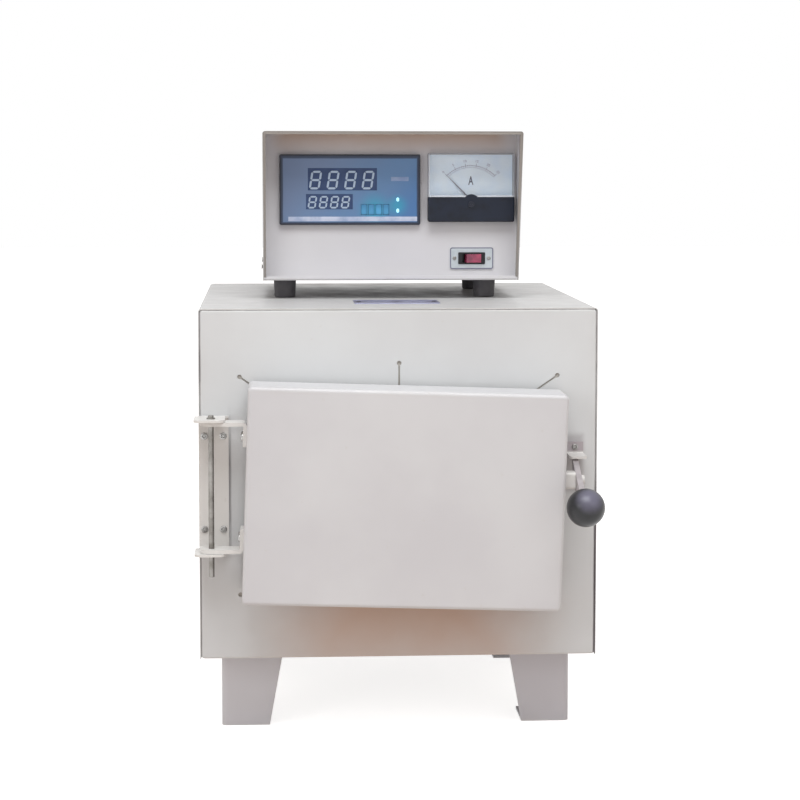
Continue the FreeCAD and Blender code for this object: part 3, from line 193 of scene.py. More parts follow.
def splitPoint(centre):
    # the three distances from a centre, along X, Y and Z
    return addNode("SeparateXYZ", {0: objectPoint(centre=centre)}).outputs


def blendColours(share, first, second):
    return addNode("Mix", {0: share, 6: first, 7: second}, data_type="RGBA").outputs[2]


def bumpOf(height, depth, strength=1.0, under=None):
    inputs = {"Height": height, "Distance": depth, "Strength": strength}
    if under is not None:
        inputs["Normal"] = under
    return addNode("Bump", inputs).outputs[0]


def turnedHalf(low, high, turn):
    # half sizes of the box that, turned by turn degrees about +Y, fills the bounds low to high
    half = (high - low) / 2
    cosine = math.cos(math.radians(turn))
    sine = math.sin(math.radians(turn))
    share = cosine ** 2 - sine ** 2
    across = (half[0] * cosine - half[2] * sine) / share
    upward = (half[2] * cosine - half[0] * sine) / share
    return across, half[1], upward


def edgeDistance(low, high, turn=0.0):
    # for a box, the middle one of the three distances to its sides is the distance to its nearest edge
    away = vectorMath("ABSOLUTE", objectPoint(centre=(low + high) / 2, turn=turn))
    inside = vectorMath("SUBTRACT", turnedHalf(low, high, turn), away)
    parts = addNode("SeparateXYZ", {0: inside}).outputs
    least = arithmetic("MINIMUM", parts[0], parts[1])
    most = larger(parts[0], parts[1])
    return larger(least, arithmetic("MINIMUM", most, parts[2]))


# Finishes: each takes a material's name and its own values

paintLook = {
    "mottle": 7.0,            # cloudy patches per metre
    "peel": 620.0,            # orange-peel cells per metre
    "peelDepth": 0.00003,
    "gloss": (0.34, 0.5),     # roughness from and to
    "edgeWear": 0.0012,       # metres rubbed at the edges, lighter there as wear and as painted highlight on the bends
    "bare": colour(226, 226, 224),
    "dust": colour(190, 184, 174),
}

doorSag = 1.9                 # degrees that the door hangs out of square


def paintFinish(name, first, second, node=None, stains=()):
    look = paintLook
    material, shader = startMaterial(name)
    point = objectPoint()
    cloud = spread(noise(point, look["mottle"], 4), 0.3, 0.7)
    base = blendColours(cloud, first, second)
    specks = spread(noise(point, 140, 2), 0.72, 0.79, 0, 0.15)
    base = blendColours(specks, base, look["dust"])
    if node:
        low, high, _ = boxOf(node)
        # edges turn lighter: rubbed paint, and painted highlight along the bends
        ragged = times(noise(point, 90, 4, 0.7), 2 * look["edgeWear"])
        distance = edgeDistance(low, high, doorSag if node.startswith("door_") else 0.0)
        wornAndLit = spread(minus(distance, ragged), -0.0006, 0.0004, 0.5, 0)
        base = blendColours(wornAndLit, base, look["bare"])
        grime = times(spread(distance, 0.0, 0.012, 0.08, 0), spread(noise(point, 22, 3), 0.4, 0.65))
        base = blendColours(grime, base, look["dust"])
    # stains, and patches of painted shade, each blended in by its own mask
    for stain in stains:
        base = blendColours(patchMask(stain), base, stain["tint"])
    # painted shade along the hood's front edge
    if node == "controller_case":
        base = rimShading(base)
    rough = spread(noise(point, 35, 5, 0.6), 0.3, 0.7, *look["gloss"])
    peel = bumpOf(noise(point, look["peel"], 1), look["peelDepth"], 0.6)
    waves = bumpOf(noise(point, 9, 1), 0.0008, 0.35, peel)
    feed(shader, {"Base Color": base, "Roughness": rough, "Normal": waves, "Specular IOR Level": 0.45})
    return material


def patchMask(stain):
    # 1 on a rectangle in the front's plane, or the top's if flat, weaker away from it, broken up by noise
    parts = splitPoint(stain["centre"])
    reach = stain["reach"]
    across = minus(arithmetic("ABSOLUTE", parts[0]), stain["half"][0])
    second = parts[1 if "flat" in stain else 2]
    upward = minus(arithmetic("ABSOLUTE", second), stain["half"][1])
    if "ends" in stain:      # a line's ends fade over this length
        upward = times(upward, reach / stain["ends"])
    outside = [larger(value, 0.0) for value in (across, upward)]
    squares = [times(value, value) for value in outside]
    corner = arithmetic("SQRT", arithmetic("ADD", *squares))
    inside = arithmetic("MINIMUM", larger(across, upward), 0.0)
    away = arithmetic("ADD", corner, inside)
    share = stain.get("ragged", 1.0)
    away = arithmetic("ADD", away, times(noise(objectPoint(), 30, 4), reach * share))
    mask = spread(away, 0.5 * reach * (share - 1), reach * (0.9 + 0.5 * share), stain["most"], 0)
    if "flat" in stain:      # and only on the top itself
        mask = times(mask, spread(parts[2], -0.002, -0.0005))
    if "deep" in stain:      # it reaches only this far back
        mask = times(mask, spread(parts[1], 0.0, stain["deep"], 1, 0))
    return mask


def metalFinish(name, first, second, rough=(0.25, 0.45), stretch=(1, 1, 1), grain=900.0, metallic=1.0,
                dark=None, spots=()):
    material, shader = startMaterial(name)
    point = objectPoint(stretch)
    streaks = noise(point, grain, 3, 0.6)
    stain = spread(noise(objectPoint(), 45, 4, 0.65), 0.38, 0.7)
    base = blendColours(stain, first, second)
    for centre, reach in spots:
        base = blendColours(spread(distanceFrom(centre), 0.0, reach, 0.85, 0), base, dark)
    feed(shader, {
        "Base Color": base,
        "Roughness": spread(streaks, 0.3, 0.7, *rough),
        "Normal": bumpOf(streaks, 0.00002, 0.5),
        "Metallic": metallic,
    })
    return material


def mineralFinish(name, first, second, third, pits=260.0, depth=0.0005, soot=0.0, smoked=None):
    # fired clay, brick and fibre: two tones, dark specks and pits; painted shade away from the mouth if asked
    material, shader = startMaterial(name)
    point = objectPoint()
    base = blendColours(spread(noise(point, 18, 5, 0.6), 0.35, 0.65), first, second)
    specks = spread(cells(point, pits * 1.7), 0.05, 0.2, 0.7, 0)
    base = blendColours(specks, base, third)
    if soot:
        base = blendColours(spread(noise(point, 8, 3), 0.45, 0.75, 0, soot), base, third)
    if smoked:
        base = blendColours(patchMask(smoked), smoked["tint"], base)
    holes = bumpOf(cells(point, pits), depth, 0.5)
    rubbed = bumpOf(noise(point, pits * 3, 3), depth * 0.5, 0.5, holes)
    feed(shader, {"Base Color": base, "Normal": rubbed, "Roughness": 0.92})
    return material


def plasticFinish(name, first, second, rough=(0.3, 0.4), grain=1400.0, depth=0.00002, coat=0.0, shine=0.5,
                  dusty=None):
    material, shader = startMaterial(name)
    point = objectPoint()
    cloud = spread(noise(point, 60, 3), 0.35, 0.7)
    base = blendColours(cloud, first, second)
    if dusty:      # painted highlight: a soft lit cap about one direction, ragged at its edge
        along = vectorMath("DOT_PRODUCT", objectPoint(centre=dusty["centre"]), dusty["way"])
        ragged = times(noise(point, 130, 3), dusty["ragged"])
        litCap = spread(arithmetic("ADD", along, ragged), *dusty["between"], 0, dusty["most"])
        base = blendColours(litCap, base, dusty["tint"])
    feed(shader, {
        "Base Color": base,
        "Roughness": spread(noise(point, 150, 4), 0.3, 0.7, *rough),
        "Normal": bumpOf(noise(point, grain, 2), depth, 0.5),
        "Coat Weight": coat,
        "Coat Roughness": 0.08,
        "Specular IOR Level": shine,
    })
    return material


def lightFinish(name, base, glow, strength, centre, reach, floorShare=0.35):
    # a lit part: brightest at its middle, weaker outwards
    material, shader = startMaterial(name)
    fading = spread(distanceFrom(centre), 0.0, reach, strength, strength * floorShare)
    feed(shader, {"Base Color": base, "Emission Color": glow, "Emission Strength": fading, "Roughness": 0.3})
    return material


# Instrument face: sizes in millimetres from the middle of the face

faceLook = {
    "lilac": colour(102, 120, 151),
    "blue": colour(90, 123, 162),
    "deep": colour(70, 112, 162),
    "teal": colour(44, 150, 180),
    "border": colour(46, 60, 84),
    "lampGlow": (54.4, -18.0, 16.0),      # across, up, reach
    "keyGlow": (28.5, -22.6, 25.0),
    "margins": (2.0, 2.0),                # dark border, across and up
    "borderDrop": 0.7,                    # and wider by this at the top
}


def facePoint(across, up):
    low, _, middle = boxOf("instrument_face")
    return (middle[0] + across * mm, low[1], middle[2] + up * mm)


def faceFinish():
    # lilac film that turns blue to the lower right, with two areas of painted glow by the lamps and the keys
    material, shader = startMaterial("faceFilm")
    look = faceLook
    low, high, middle = boxOf("instrument_face")
    parts = splitPoint(middle)
    slant = minus(parts[0], parts[2])
    cloud = times(noise(objectPoint(), 40, 3), 0.03)
    turning = spread(arithmetic("ADD", slant, cloud), -0.06, 0.05)
    base = blendColours(turning, look["lilac"], look["blue"])
    base = blendColours(spread(slant, 0.03, 0.1), base, look["deep"])
    for across, up, reach in (look["lampGlow"], look["keyGlow"]):
        lit = spread(distanceFrom(facePoint(across, up)), 0.0, reach * mm, 0.75, 0)
        base = blendColours(lit, base, look["teal"])
    half = tuple(((high - low) / 2)[[0, 2]] - np.array(look["margins"]) * mm)
    inner = dict(centre=facePoint(0, -look["borderDrop"]), half=half, reach=0.001, most=1.0)
    base = blendColours(patchMask(inner), look["border"], base)
    grain = bumpOf(noise(objectPoint(), 1500, 2), 0.00001, 0.5)
    # painted glow: the whole film emits a little of its own colour
    feed(shader, {"Base Color": base, "Emission Color": base, "Emission Strength": 0.12, "Roughness": 0.38,
                  "Normal": grain})
    return material


clearLook = {
    "rim": 0.0019,        # the wall, seen edge on
    "rimHaze": 0.5,
}


def clearFinish():
    # thin clear sheet: a little haze, and the rest seen straight through
    material, shader = startMaterial("meterClear")
    point = objectPoint()
    hazy = spread(noise(point, 60, 4), 0.45, 0.8, 0.06, 0.14)
    film = spread(noise(point, 25, 3), 0.35, 0.7, 0.015, 0.05)
    low, high, middle = boxOf("meter_window")
    half = (high - low) / 2 - clearLook["rim"]
    pane = dict(centre=middle, half=(half[0], half[2]), reach=clearLook["rim"] / 3, most=1.0)
    film = larger(film, times(minus(1.0, patchMask(pane)), clearLook["rimHaze"]))
    feed(shader, {"Base Color": colour(240, 246, 254), "Roughness": hazy, "Alpha": film})
    return material


# Stains and patches of painted shade: a middle, half sizes, the length they fade over, the strength there and
# a tint

# heat tint round the mouth; where it shows below the door it also serves as painted shade
mouthHeatAndShade = dict(centre=(0.0, 0.0, boxOf("door_plug")[2][2]), half=(0.085, 0.060), reach=0.05, most=0.7,
                 tint=colour(132, 104, 78))
# painted shade on the brick's front, which is seen only through the panel's slots
brickSlotShade = dict(centre=mouthHeatAndShade["centre"], half=(0.078, 0.053), reach=0.008, most=1.0,
                  tint=colour(172, 168, 162))


def shadePatch(node, across, up, half, reach, most, tint):
    # a soft patch of painted shade; its middle is measured from the node's own middle
    low, _, middle = boxOf(node)
    centre = (middle[0] + across, low[1], middle[2] + up)
    return dict(centre=centre, half=half, reach=reach, most=most, tint=colour(*tint), ragged=0.25)


def topDustAndShade():
    # a thin even grey layer on the casing's top: dust, and painted shade that tones the brightly lit top down
    low, high, middle = boxOf("casing_shell")
    centre = (middle[0], middle[1], high[2])
    half = tuple((high - low)[:2] / 2)
    return dict(centre=centre, half=half, reach=0.02, most=0.4, flat=True, tint=colour(176, 171, 167))


doorBottom = boxOf("door_pan")[0][2] - boxOf("front_panel")[2][2]
# painted shade below the door on the front panel
underDoorShade = shadePatch("front_panel", 0.008, doorBottom - 0.01, (0.085, 0.036), 0.115, 0.8, (185, 148, 123))
# painted shade round the keeper and down towards the latch
keeperPaintedShade = shadePatch("keeper", -0.004, -0.016, (0.012, 0.03), 0.006, 0.4, (128, 118, 122))
# painted shade on the keeper's upright plate
keeperPlateShade = shadePatch("keeper", 0.0, 0.007, (0.02, 0.0098), 0.002, 0.75, (148, 136, 144))
# painted shade on the top of the controller's panel, under the hood
hoodPaintedShade = shadePatch("controller_panel", 0.0, 0.086, (0.12, 0.006), 0.03, 0.8, (186, 146, 108))


def seamShadeLine(across, low, high, most, width=0.0012):
    # a dark line of painted shade up a joint on the casing's front
    centre = (across, boxOf("front_panel")[0][1], (low + high) / 2)
    return dict(centre=centre, half=(width / 2, (high - low) / 2), reach=0.0014, ends=0.05, deep=0.004,
                most=most, tint=colour(112, 106, 110))


def frontSeamShades():
    # painted shade in the joints beside the casing's edges, the hinge plate and the keeper
    low, high, middle = boxOf("casing_shell")
    hingeLow, hingeHigh, _ = boxOf("hinge_bracket")
    keeperLow, keeperHigh, _ = boxOf("keeper")
    edge = 1.5 * mm
    return [
        seamShadeLine(low[0] + edge, hingeHigh[2] + 0.06, high[2] - 0.05, 0.75),
        seamShadeLine(low[0] + edge, low[2], high[2], 0.4),
        seamShadeLine(high[0] - edge, low[2], middle[2] - 0.02, 0.95, 0.0022),
        seamShadeLine(high[0] - edge, low[2], high[2], 0.35),
        seamShadeLine(hingeHigh[0] + 0.6 * mm, hingeLow[2] + 0.03, hingeHigh[2] - 0.03, 0.62, 0.003),
        seamShadeLine(keeperLow[0] - 0.8 * mm, keeperLow[2], keeperHigh[2], 0.6, 0.0022),
    ]


rimShadeLook = {
    "tint": colour(122, 117, 110),
    "width": 0.0036,
    "most": 0.9,
    "paleUpTo": 0.04,         # its lower end is paler, the painted shade lighter there
    "paleShare": 0.5,
}


def hoodEdge():
    # front of the hood at its foot and at its top: the rim leans between them
    places = np.array([v.co for v in cadNodes["controller_case"].data.vertices])
    low = places.min(0)
    high = places.max(0)
    foot = places[places[:, 2] < low[2] + 5 * mm][:, 1].min()
    head = places[places[:, 2] > high[2] - 5 * mm][:, 1].min()
    return low, high, foot, head


def rimShading(base):
    # the cut edge of the slanting hood, painted dark as shade for a little way back from it
    low, high, foot, head = hoodEdge()
    parts = splitPoint((0.0, foot, low[2]))
    slope = (head - foot) / (high[2] - low[2])
    behind = minus(parts[1], times(parts[2], slope))
    mask = spread(behind, rimShadeLook["width"] * 0.5, rimShadeLook["width"], rimShadeLook["most"], 0)
    upwards = spread(parts[2], rimShadeLook["paleUpTo"], high[2] - low[2], rimShadeLook["paleShare"], 1)
    return blendColours(times(mask, upwards), base, rimShadeLook["tint"])


# painted highlight on the ball's upper front
ballHighlight = {
    "centre": boxOf("ball_knob")[2],
    "way": (0.14, -0.77, 0.62),
    "between": (0.0125, 0.0222),
    "ragged": 0.0025,
    "most": 0.54,
    "tint": colour(138, 136, 158),
}

paleTones = ((224, 222, 219), (215, 213, 210))
brickTones = ((226, 214, 194), (212, 192, 166), (158, 124, 96))


def toned(*tones, **values):
    return [colour(*tone) for tone in tones], values


finishLooks = {
    # kind of finish: slot or node: its tones and its other values
    paintFinish: {
        "hinge_paint": toned(*paleTones),
        # the keeper gets painted shade on its plate
        "keeper": toned(*paleTones, stains=[keeperPlateShade]),
    },
    metalFinish: {
        "zinc_steel": toned((178, 177, 175), (142, 139, 136), rough=(0.36, 0.5)),
        "bare_steel": toned((168, 165, 162), (126, 120, 112), rough=(0.3, 0.46), stretch=(1, 1, 9)),
        "hinge_rod": toned((150, 147, 143), (116, 112, 107), rough=(0.4, 0.55), stretch=(1, 1, 9)),
        "latch_lever": toned((180, 174, 176), (160, 154, 156), rough=(0.45, 0.6), metallic=0.25),
        "element_wire": toned((92, 84, 80), (64, 56, 52), rough=(0.5, 0.7), grain=700, metallic=0.7),
        "sheath": toned((150, 140, 128), (110, 92, 78), rough=(0.35, 0.55), stretch=(1, 6, 1)),
        "plate_metal": toned((196, 203, 208), (178, 186, 192), rough=(0.32, 0.44), stretch=(9, 1, 1),
                             grain=600, metallic=0.5),
        "sink_aluminium": toned((190, 192, 194), (168, 170, 172), rough=(0.35, 0.5), stretch=(1, 12, 1)),
    },
    mineralFinish: {
        "muffle_ceramic": toned((222, 208, 190), (206, 184, 160), (150, 112, 84), pits=300, depth=0.0003,
                                soot=0.35),
        "fire_brick": toned(*brickTones, pits=240, depth=0.0006, soot=0.3),
        "mouth_brick": toned(*brickTones, pits=240, depth=0.0006, soot=0.3, smoked=brickSlotShade),
        "fibre": toned((236, 232, 222), (224, 216, 200), (196, 180, 156), pits=420, depth=0.0005),
    },
    plasticFinish: {
        "white_ceramic": toned((232, 230, 224), (220, 216, 206), rough=(0.12, 0.22), grain=300,
                               depth=0.00004, coat=0.5),
        "black_nylon": toned((38, 38, 40), (46, 46, 48), rough=(0.42, 0.55)),
        "black_phenolic": toned((20, 20, 22), (27, 27, 31), rough=(0.3, 0.36), depth=0.000004, shine=0.42,
                                dusty=ballHighlight),
        "foot_rubber": toned((80, 78, 82), (92, 90, 93), rough=(0.6, 0.78), grain=900, depth=0.00006),
        "bezel_plastic": toned((44, 50, 64), (54, 58, 70), rough=(0.34, 0.46), shine=0.35),
        "display_lens": toned((64, 83, 122), (56, 74, 112), rough=(0.14, 0.22), grain=300, depth=0.00001,
                              shine=0.25),
        "meter_black": toned((32, 38, 52), (28, 31, 40), rough=(0.34, 0.4), grain=60, depth=0.00004,
                             shine=0.25),
        "meter_case": toned((240, 244, 252), (232, 236, 246), rough=(0.4, 0.5)),
        "dial_white": toned((228, 243, 255), (220, 238, 255), rough=(0.5, 0.6), grain=300, depth=0.000004),
        "needle": toned((110, 108, 122), (120, 118, 132), rough=(0.4, 0.5)),
        "zero_plastic": toned((38, 42, 54), (46, 49, 60), shine=0.3),
        "switch_black": toned((22, 22, 27), (30, 30, 34), shine=0.35),
        "switch_red": toned((172, 58, 92), (122, 36, 70), rough=(0.14, 0.24), grain=200, depth=0.00001,
                            coat=0.6),
        "module_plastic": toned((62, 62, 66), (52, 52, 56), rough=(0.4, 0.5)),
        "strip_plastic": toned((196, 192, 180), (184, 180, 166), rough=(0.4, 0.55)),
    },
}

finishOf = {key: (kind, look) for kind, looks in finishLooks.items() for key, look in looks.items()}

paintSlots = {
    "casing_paint": ((211, 213, 214), (204, 205, 206)),
    "front_paint": ((211, 213, 214), (204, 205, 206)),
    "door_paint": ((208, 208, 210), (201, 200, 203)),
    "leg_paint": ((212, 212, 217), (204, 203, 209)),
    "case_paint": ((216, 215, 218), (209, 208, 211)),
}

keyLook = {
    "base": colour(60, 122, 166),
    "glow": colour(84, 170, 206),
    "strengths": (0.26, 0.28, 0.42, 0.26),
}


def makeFinish(key):
    # its material is called by the key, as in zincSteelFinish
    kind, (tones, values) = finishOf[key]
    first, *others = key.split("_")
    return kind(first + "".join(word.title() for word in others) + "Finish", *tones, **values)


def dressNodes():
    # one finish for each slot, except painted sheet and keys, which get one for each node
    made = {"face_film": faceFinish(), "meter_clear": clearFinish()}
    seamShades = frontSeamShades()
    # stains and patches of painted shade, node by node
    patchesOf = {
        "front_panel": [mouthHeatAndShade, underDoorShade, keeperPaintedShade] + seamShades,
        "casing_shell": seamShades[:4] + [topDustAndShade()],
        "controller_panel": [hoodPaintedShade],
    }
    for name, node in cadNodes.items():
        slotName = node.data.materials[0].name
        if slotName in paintSlots:
            tones = [colour(*tone) for tone in paintSlots[slotName]]
            finish = paintFinish("paint_" + name, *tones, name, stains=patchesOf.get(name, ()))
        elif name.startswith("key_"):
            # the keys glow as painted light, brightest 2 mm below their middles
            low, _, middle = boxOf(name)
            centre = (middle[0], low[1], middle[2] - 0.002)
            strength = keyLook["strengths"][int(name[-1]) - 1]
            finish = lightFinish("lit_" + name, keyLook["base"], keyLook["glow"], strength, centre, 0.008)
        else:
            key = name if name in finishOf else slotName
            if key not in made:
                made[key] = makeFinish(key)
            finish = made[key]
        node.data.materials[0] = finish
    return made


slotMaterials = dressNodes()
print("stage: finishes on the nodes")


# Surfaces: every piece is rows u and columns v of points


def gridFaces(rows, columns, first, ring):
    # quads join each point to its neighbours; a ring's last row meets its first, other ends get one face
    u = np.arange(rows if ring else rows - 1)[:, None]
    v = np.arange(columns)[None, :]
    nextU = (u + 1) % rows
    nextV = (v + 1) % columns
    near = u * columns
    far = nextU * columns
    quads = np.stack([near + v, far + v, far + nextV, near + nextV], -1)
    faces = (quads.reshape(-1, 4) + first).tolist()
    if not ring:
        faces.append(list(range(first + columns - 1, first - 1, -1)))
        faces.append(list(range(first + (rows - 1) * columns, first + rows * columns)))
    return faces


def makePiece(name, grids, material, body, ring=False, smooth=35.0):
    points = []
    faces = []
    first = 0
    for grid in grids:
        faces += gridFaces(*grid.shape[:2], first, ring)
        points.append(grid.reshape(-1, 3))
        first += len(points[-1])
    mesh = bpy.data.meshes.new(name)
    mesh.from_pydata(np.concatenate(points).tolist(), [], faces)
    return finishPiece(name, mesh, material, body, smooth)


def finishPiece(name, mesh, material, body, smooth=35.0):
    # merge doubles, turn the faces outwards, keep edges sharper than the angle
    shape = bmesh.new()
    shape.from_mesh(mesh)
    bmesh.ops.remove_doubles(shape, verts=shape.verts, dist=1e-7)
    bmesh.ops.dissolve_degenerate(shape, dist=1e-8, edges=shape.edges)
    bmesh.ops.recalc_face_normals(shape, faces=shape.faces)
    shape.to_mesh(mesh)
    shape.free()
    mesh.shade_smooth()
    mesh.set_sharp_from_angle(angle=math.radians(smooth))
    mesh.materials.append(material)
    piece = addObject(name, mesh)
    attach(piece, body)
    return piece


def roundedLoop(halfAcross, halfUp, corner, perCorner=6):
    # points of a rectangle with round corners, anticlockwise from the right
    turns = np.radians(np.linspace(0, 90, perCorner))
    arcs = []
    for k, (sideX, sideY) in enumerate(((1, 1), (-1, 1), (-1, -1), (1, -1))):
        angle = turns + k * math.pi / 2
        middle = np.array([sideX * (halfAcross - corner), sideY * (halfUp - corner)])
        arcs.append(middle + corner * np.stack([np.cos(angle), np.sin(angle)], -1))
    return np.concatenate(arcs)


def plateGrid(centre, halfAcross, halfUp, corner, steps, across=(1, 0, 0), up=(0, 0, 1), out=(0, -1, 0)):
    # rows are rounded rectangles, each with its own inset and height: (inset, height) in steps
    axes = np.array([across, up, out], float)
    rows = []
    for inset, height in steps:
        loop = roundedLoop(halfAcross - inset, halfUp - inset, max(corner - inset, corner * 0.15))
        rows.append(np.column_stack([loop, np.full(len(loop), height)]))
    return np.array(rows) @ axes + np.array(centre)


def barGrid(start, end, width, thick, blunt=0.15):
    # flat bar between two points (across, up, ahead) on a face: pointed ends, full width between
    start = np.array(start, float)
    end = np.array(end, float)
    way = (end - start) / np.linalg.norm(end - start)
    side = np.array([-way[1], way[0], 0])
    lift = np.array([0, 0, thick])
    length = np.linalg.norm(end - start)
    along = np.array([0, width / 2, length - width / 2, length])[:, None]
    half = np.array([blunt, 1, 1, blunt])[:, None] * width / 2
    middle = start + along * way
    one = middle - half * side
    other = middle + half * side
    return np.stack([one, other, other + lift, one + lift], 1)


def ontoFace(grid, centre):
    # (across, up, ahead) in millimetres becomes a place in front of a centre, ahead towards the viewer
    flat = np.stack([grid[..., 0], -grid[..., 2], grid[..., 1]], -1)
    return flat * mm + np.array(centre)


# Displays: slanting bars for the digits, as on any seven-bar display

digitLook = {
    "slant": 9.0,
    "thick": 0.12,
    "upper": dict(first=-39.4, pitch=20.0, up=10.9, high=18.8, wide=10.0, bar=2.3),
    "lower": dict(first=-43.0, pitch=12.6, up=-14.3, high=12.4, wide=7.4, bar=1.8),
    "pale": colour(164, 180, 200),
    "glow": colour(150, 178, 204),
    "strength": 0.14,
}


def digitBars(look, slant, thick):
    # each bar runs along one side of two stacked squares, then all lean by the slant
    half = look["wide"] / 2
    high = look["high"] / 2
    gap = look["bar"] * 0.22
    grids = []
    for digit in range(4):
        runs = [((-half + gap, k * high), (half - gap, k * high)) for k in (-1, 0, 1)]
        for side in (-half, half):
            runs += [((side, gap), (side, high - gap)), ((side, -high + gap), (side, -gap))]
        for (x0, z0), (x1, z1) in runs:
            grid = barGrid((x0, z0, 0), (x1, z1, 0), look["bar"], thick)
            grid[..., 0] += grid[..., 1] * math.tan(math.radians(slant))
            grid[..., 0] += look["first"] + digit * look["pitch"]
            grid[..., 1] += look["up"]
            grids.append(grid)
    return grids


def makeDisplays():
    low, _, _ = boxOf("displays")
    faceMiddle = boxOf("instrument_face")[2]
    centre = (faceMiddle[0], low[1], faceMiddle[2])
    for name in ("upper", "lower"):
        look = digitLook[name]
        grids = [ontoFace(g, centre) for g in digitBars(look, digitLook["slant"], digitLook["thick"])]
        lit = lightFinish(name + "DigitLight", digitLook["pale"], digitLook["glow"], digitLook["strength"],
                          facePoint(-10, look["up"]), 0.06, 0.75)
        makePiece(name + "Digits", grids, lit, "controller")


# Lamps and pale strips on the instrument face

markLook = {
    "lamps": ((54.6, -11.2), (54.6, -24.0)),
    "lampSize": (1.6, 2.3, 0.5),
    "lampWhite": colour(190, 236, 246),
    "lampGlow": colour(140, 226, 246),
    "strips": {      # across, up, half width, half height, corner; two tones; roughness
        "faceStrip": ((3.1, -33.4, 73.7, 2.6, 0.5), (200, 208, 228), (150, 168, 202), (0.25, 0.35)),
        "faceBar": ((57.0, 12.2, 10.0, 2.3, 0.4), (146, 164, 196), (126, 148, 190), (0.3, 0.4)),
    },
}


def makeFaceMarks():
    half, halfHigh, proud = [v * mm for v in markLook["lampSize"]]
    domed = np.radians([15, 35, 55, 72])
    steps = [(0, 0)] + [(half * (1 - math.cos(a)), proud * math.sin(a)) for a in domed]
    lamps = markLook["lamps"]
    grids = [plateGrid(facePoint(across, up), half, halfHigh, half * 0.98, steps) for across, up in lamps]
    between = facePoint(*np.mean(lamps, 0))
    lampLight = lightFinish("lampLight", markLook["lampWhite"], markLook["lampGlow"], 0.9, between, 0.02, 0.8)
    makePiece("statusLamps", grids, lampLight, "controller", smooth=60)
    flat = inMetres([(0, 0), (0, 0.06), (0.1, 0.1)])
    for name, (sizes, pale, dark, rough) in markLook["strips"].items():
        across, up, *others = sizes
        grid = plateGrid(facePoint(across, up), *[size * mm for size in others], flat)
        finish = plasticFinish(name + "Film", colour(*pale), colour(*dark), rough, 900, 0.00001)
        makePiece(name, [grid], finish, "controller")


makeDisplays()
makeFaceMarks()
print("stage: instrument marks made")


# Ammeter dial: an arc scale about the pointer's axis

dialLook = {
    "radius": 39.0,
    "sweep": 45.0,
    "minorTicks": 25,
    "majorEvery": 5,
    "ink": colour(132, 129, 156),
    "symbolInk": colour(56, 56, 78),
    "symbol": ("A", 0.0, 21.4, 13.5, 0.0),      # text, across, up, size, turn
    "symbolSqueeze": 0.6,
    "thick": 0.06,
    "numbers": ("0", "5", "10", "15", "20", "25"),
    "numberSize": 4.2,
    "numberOver": 5.4,        # beyond the outer arc
    "arcGap": 2.2,
    "arcHalfWidths": (0.22, 0.12),
    "major": (2.6, 0.5),      # a tick's length beyond the arc and its width
    "minor": (0.9, 0.26),
    "lines": ((-32.0, -6.6, 11.0), (26.0, -7.0, 12.0)),     # two short lines: across, up, length
    "lineWidth": 0.8,
}


def dialCentre():
    # the pointer turns about the zero screw's column, a little above the screw
    dialLow = boxOf("meter_dial")[0]
    screw = boxOf("zero_screw")[2]
    return np.array([screw[0], dialLow[1], screw[2] + 5 * mm])


def dialFront():
    # the dial's own front, which its pin passes: the pointer's back is just ahead of it
    return boxOf("meter_pointer")[1][1] + 0.3 * mm


def arcGrid(radius, halfWidth, thick, sweep, rows=72):
    # a band at one radius: angle runs along u, the four corners of its section round v
    angle = np.radians(np.linspace(-sweep, sweep, rows))
    corners = np.array([(-halfWidth, 0), (halfWidth, 0), (halfWidth, thick), (-halfWidth, thick)])
    away = radius + corners[:, 0]
    across = away * np.sin(angle)[:, None]
    up = away * np.cos(angle)[:, None]
    return np.stack([across, up, np.broadcast_to(corners[:, 1], across.shape)], -1)


def makeDialPrint():
    look = dialLook
    centre = dialCentre()
    centre[1] = dialFront()
    thick = look["thick"]
    sweep = look["sweep"]
    radii = (look["radius"], look["radius"] - look["arcGap"])
    grids = [arcGrid(radius, half, thick, sweep) for radius, half in zip(radii, look["arcHalfWidths"])]
    for k, angle in enumerate(np.radians(np.linspace(-sweep, sweep, look["minorTicks"] + 1))):
        over, width = look["minor" if k % look["majorEvery"] else "major"]
        way = np.array([math.sin(angle), math.cos(angle)])
        grids.append(barGrid((*(radii[1] * way), 0), (*((radii[0] + over) * way), 0), width, thick, 1.0))
    for across, up, length in look["lines"]:
        grids.append(barGrid((across, up, 0), (across + length, up, 0), look["lineWidth"], thick, 1.0))
    ink = plasticFinish("dialInk", look["ink"], colour(146, 142, 168), (0.5, 0.6))
    makePiece("dialScale", [ontoFace(g, centre) for g in grids], ink, "controller")
    texts = []
    for k, number in enumerate(look["numbers"]):
        angle = math.radians(-sweep + 2 * sweep * k / (len(look["numbers"]) - 1))
        place = (look["radius"] + look["numberOver"]) * np.array([math.sin(angle), math.cos(angle)])
        texts.append((number, place[0], place[1], look["numberSize"], -angle))
    makeLetters("dialNumbers", texts, centre, ink)
    dark = plasticFinish("dialSymbolInk", look["symbolInk"], colour(66, 66, 90), (0.5, 0.6))
    makeLetters("dialSymbol", [look["symbol"]], centre, dark, look["symbolSqueeze"], 0.25)


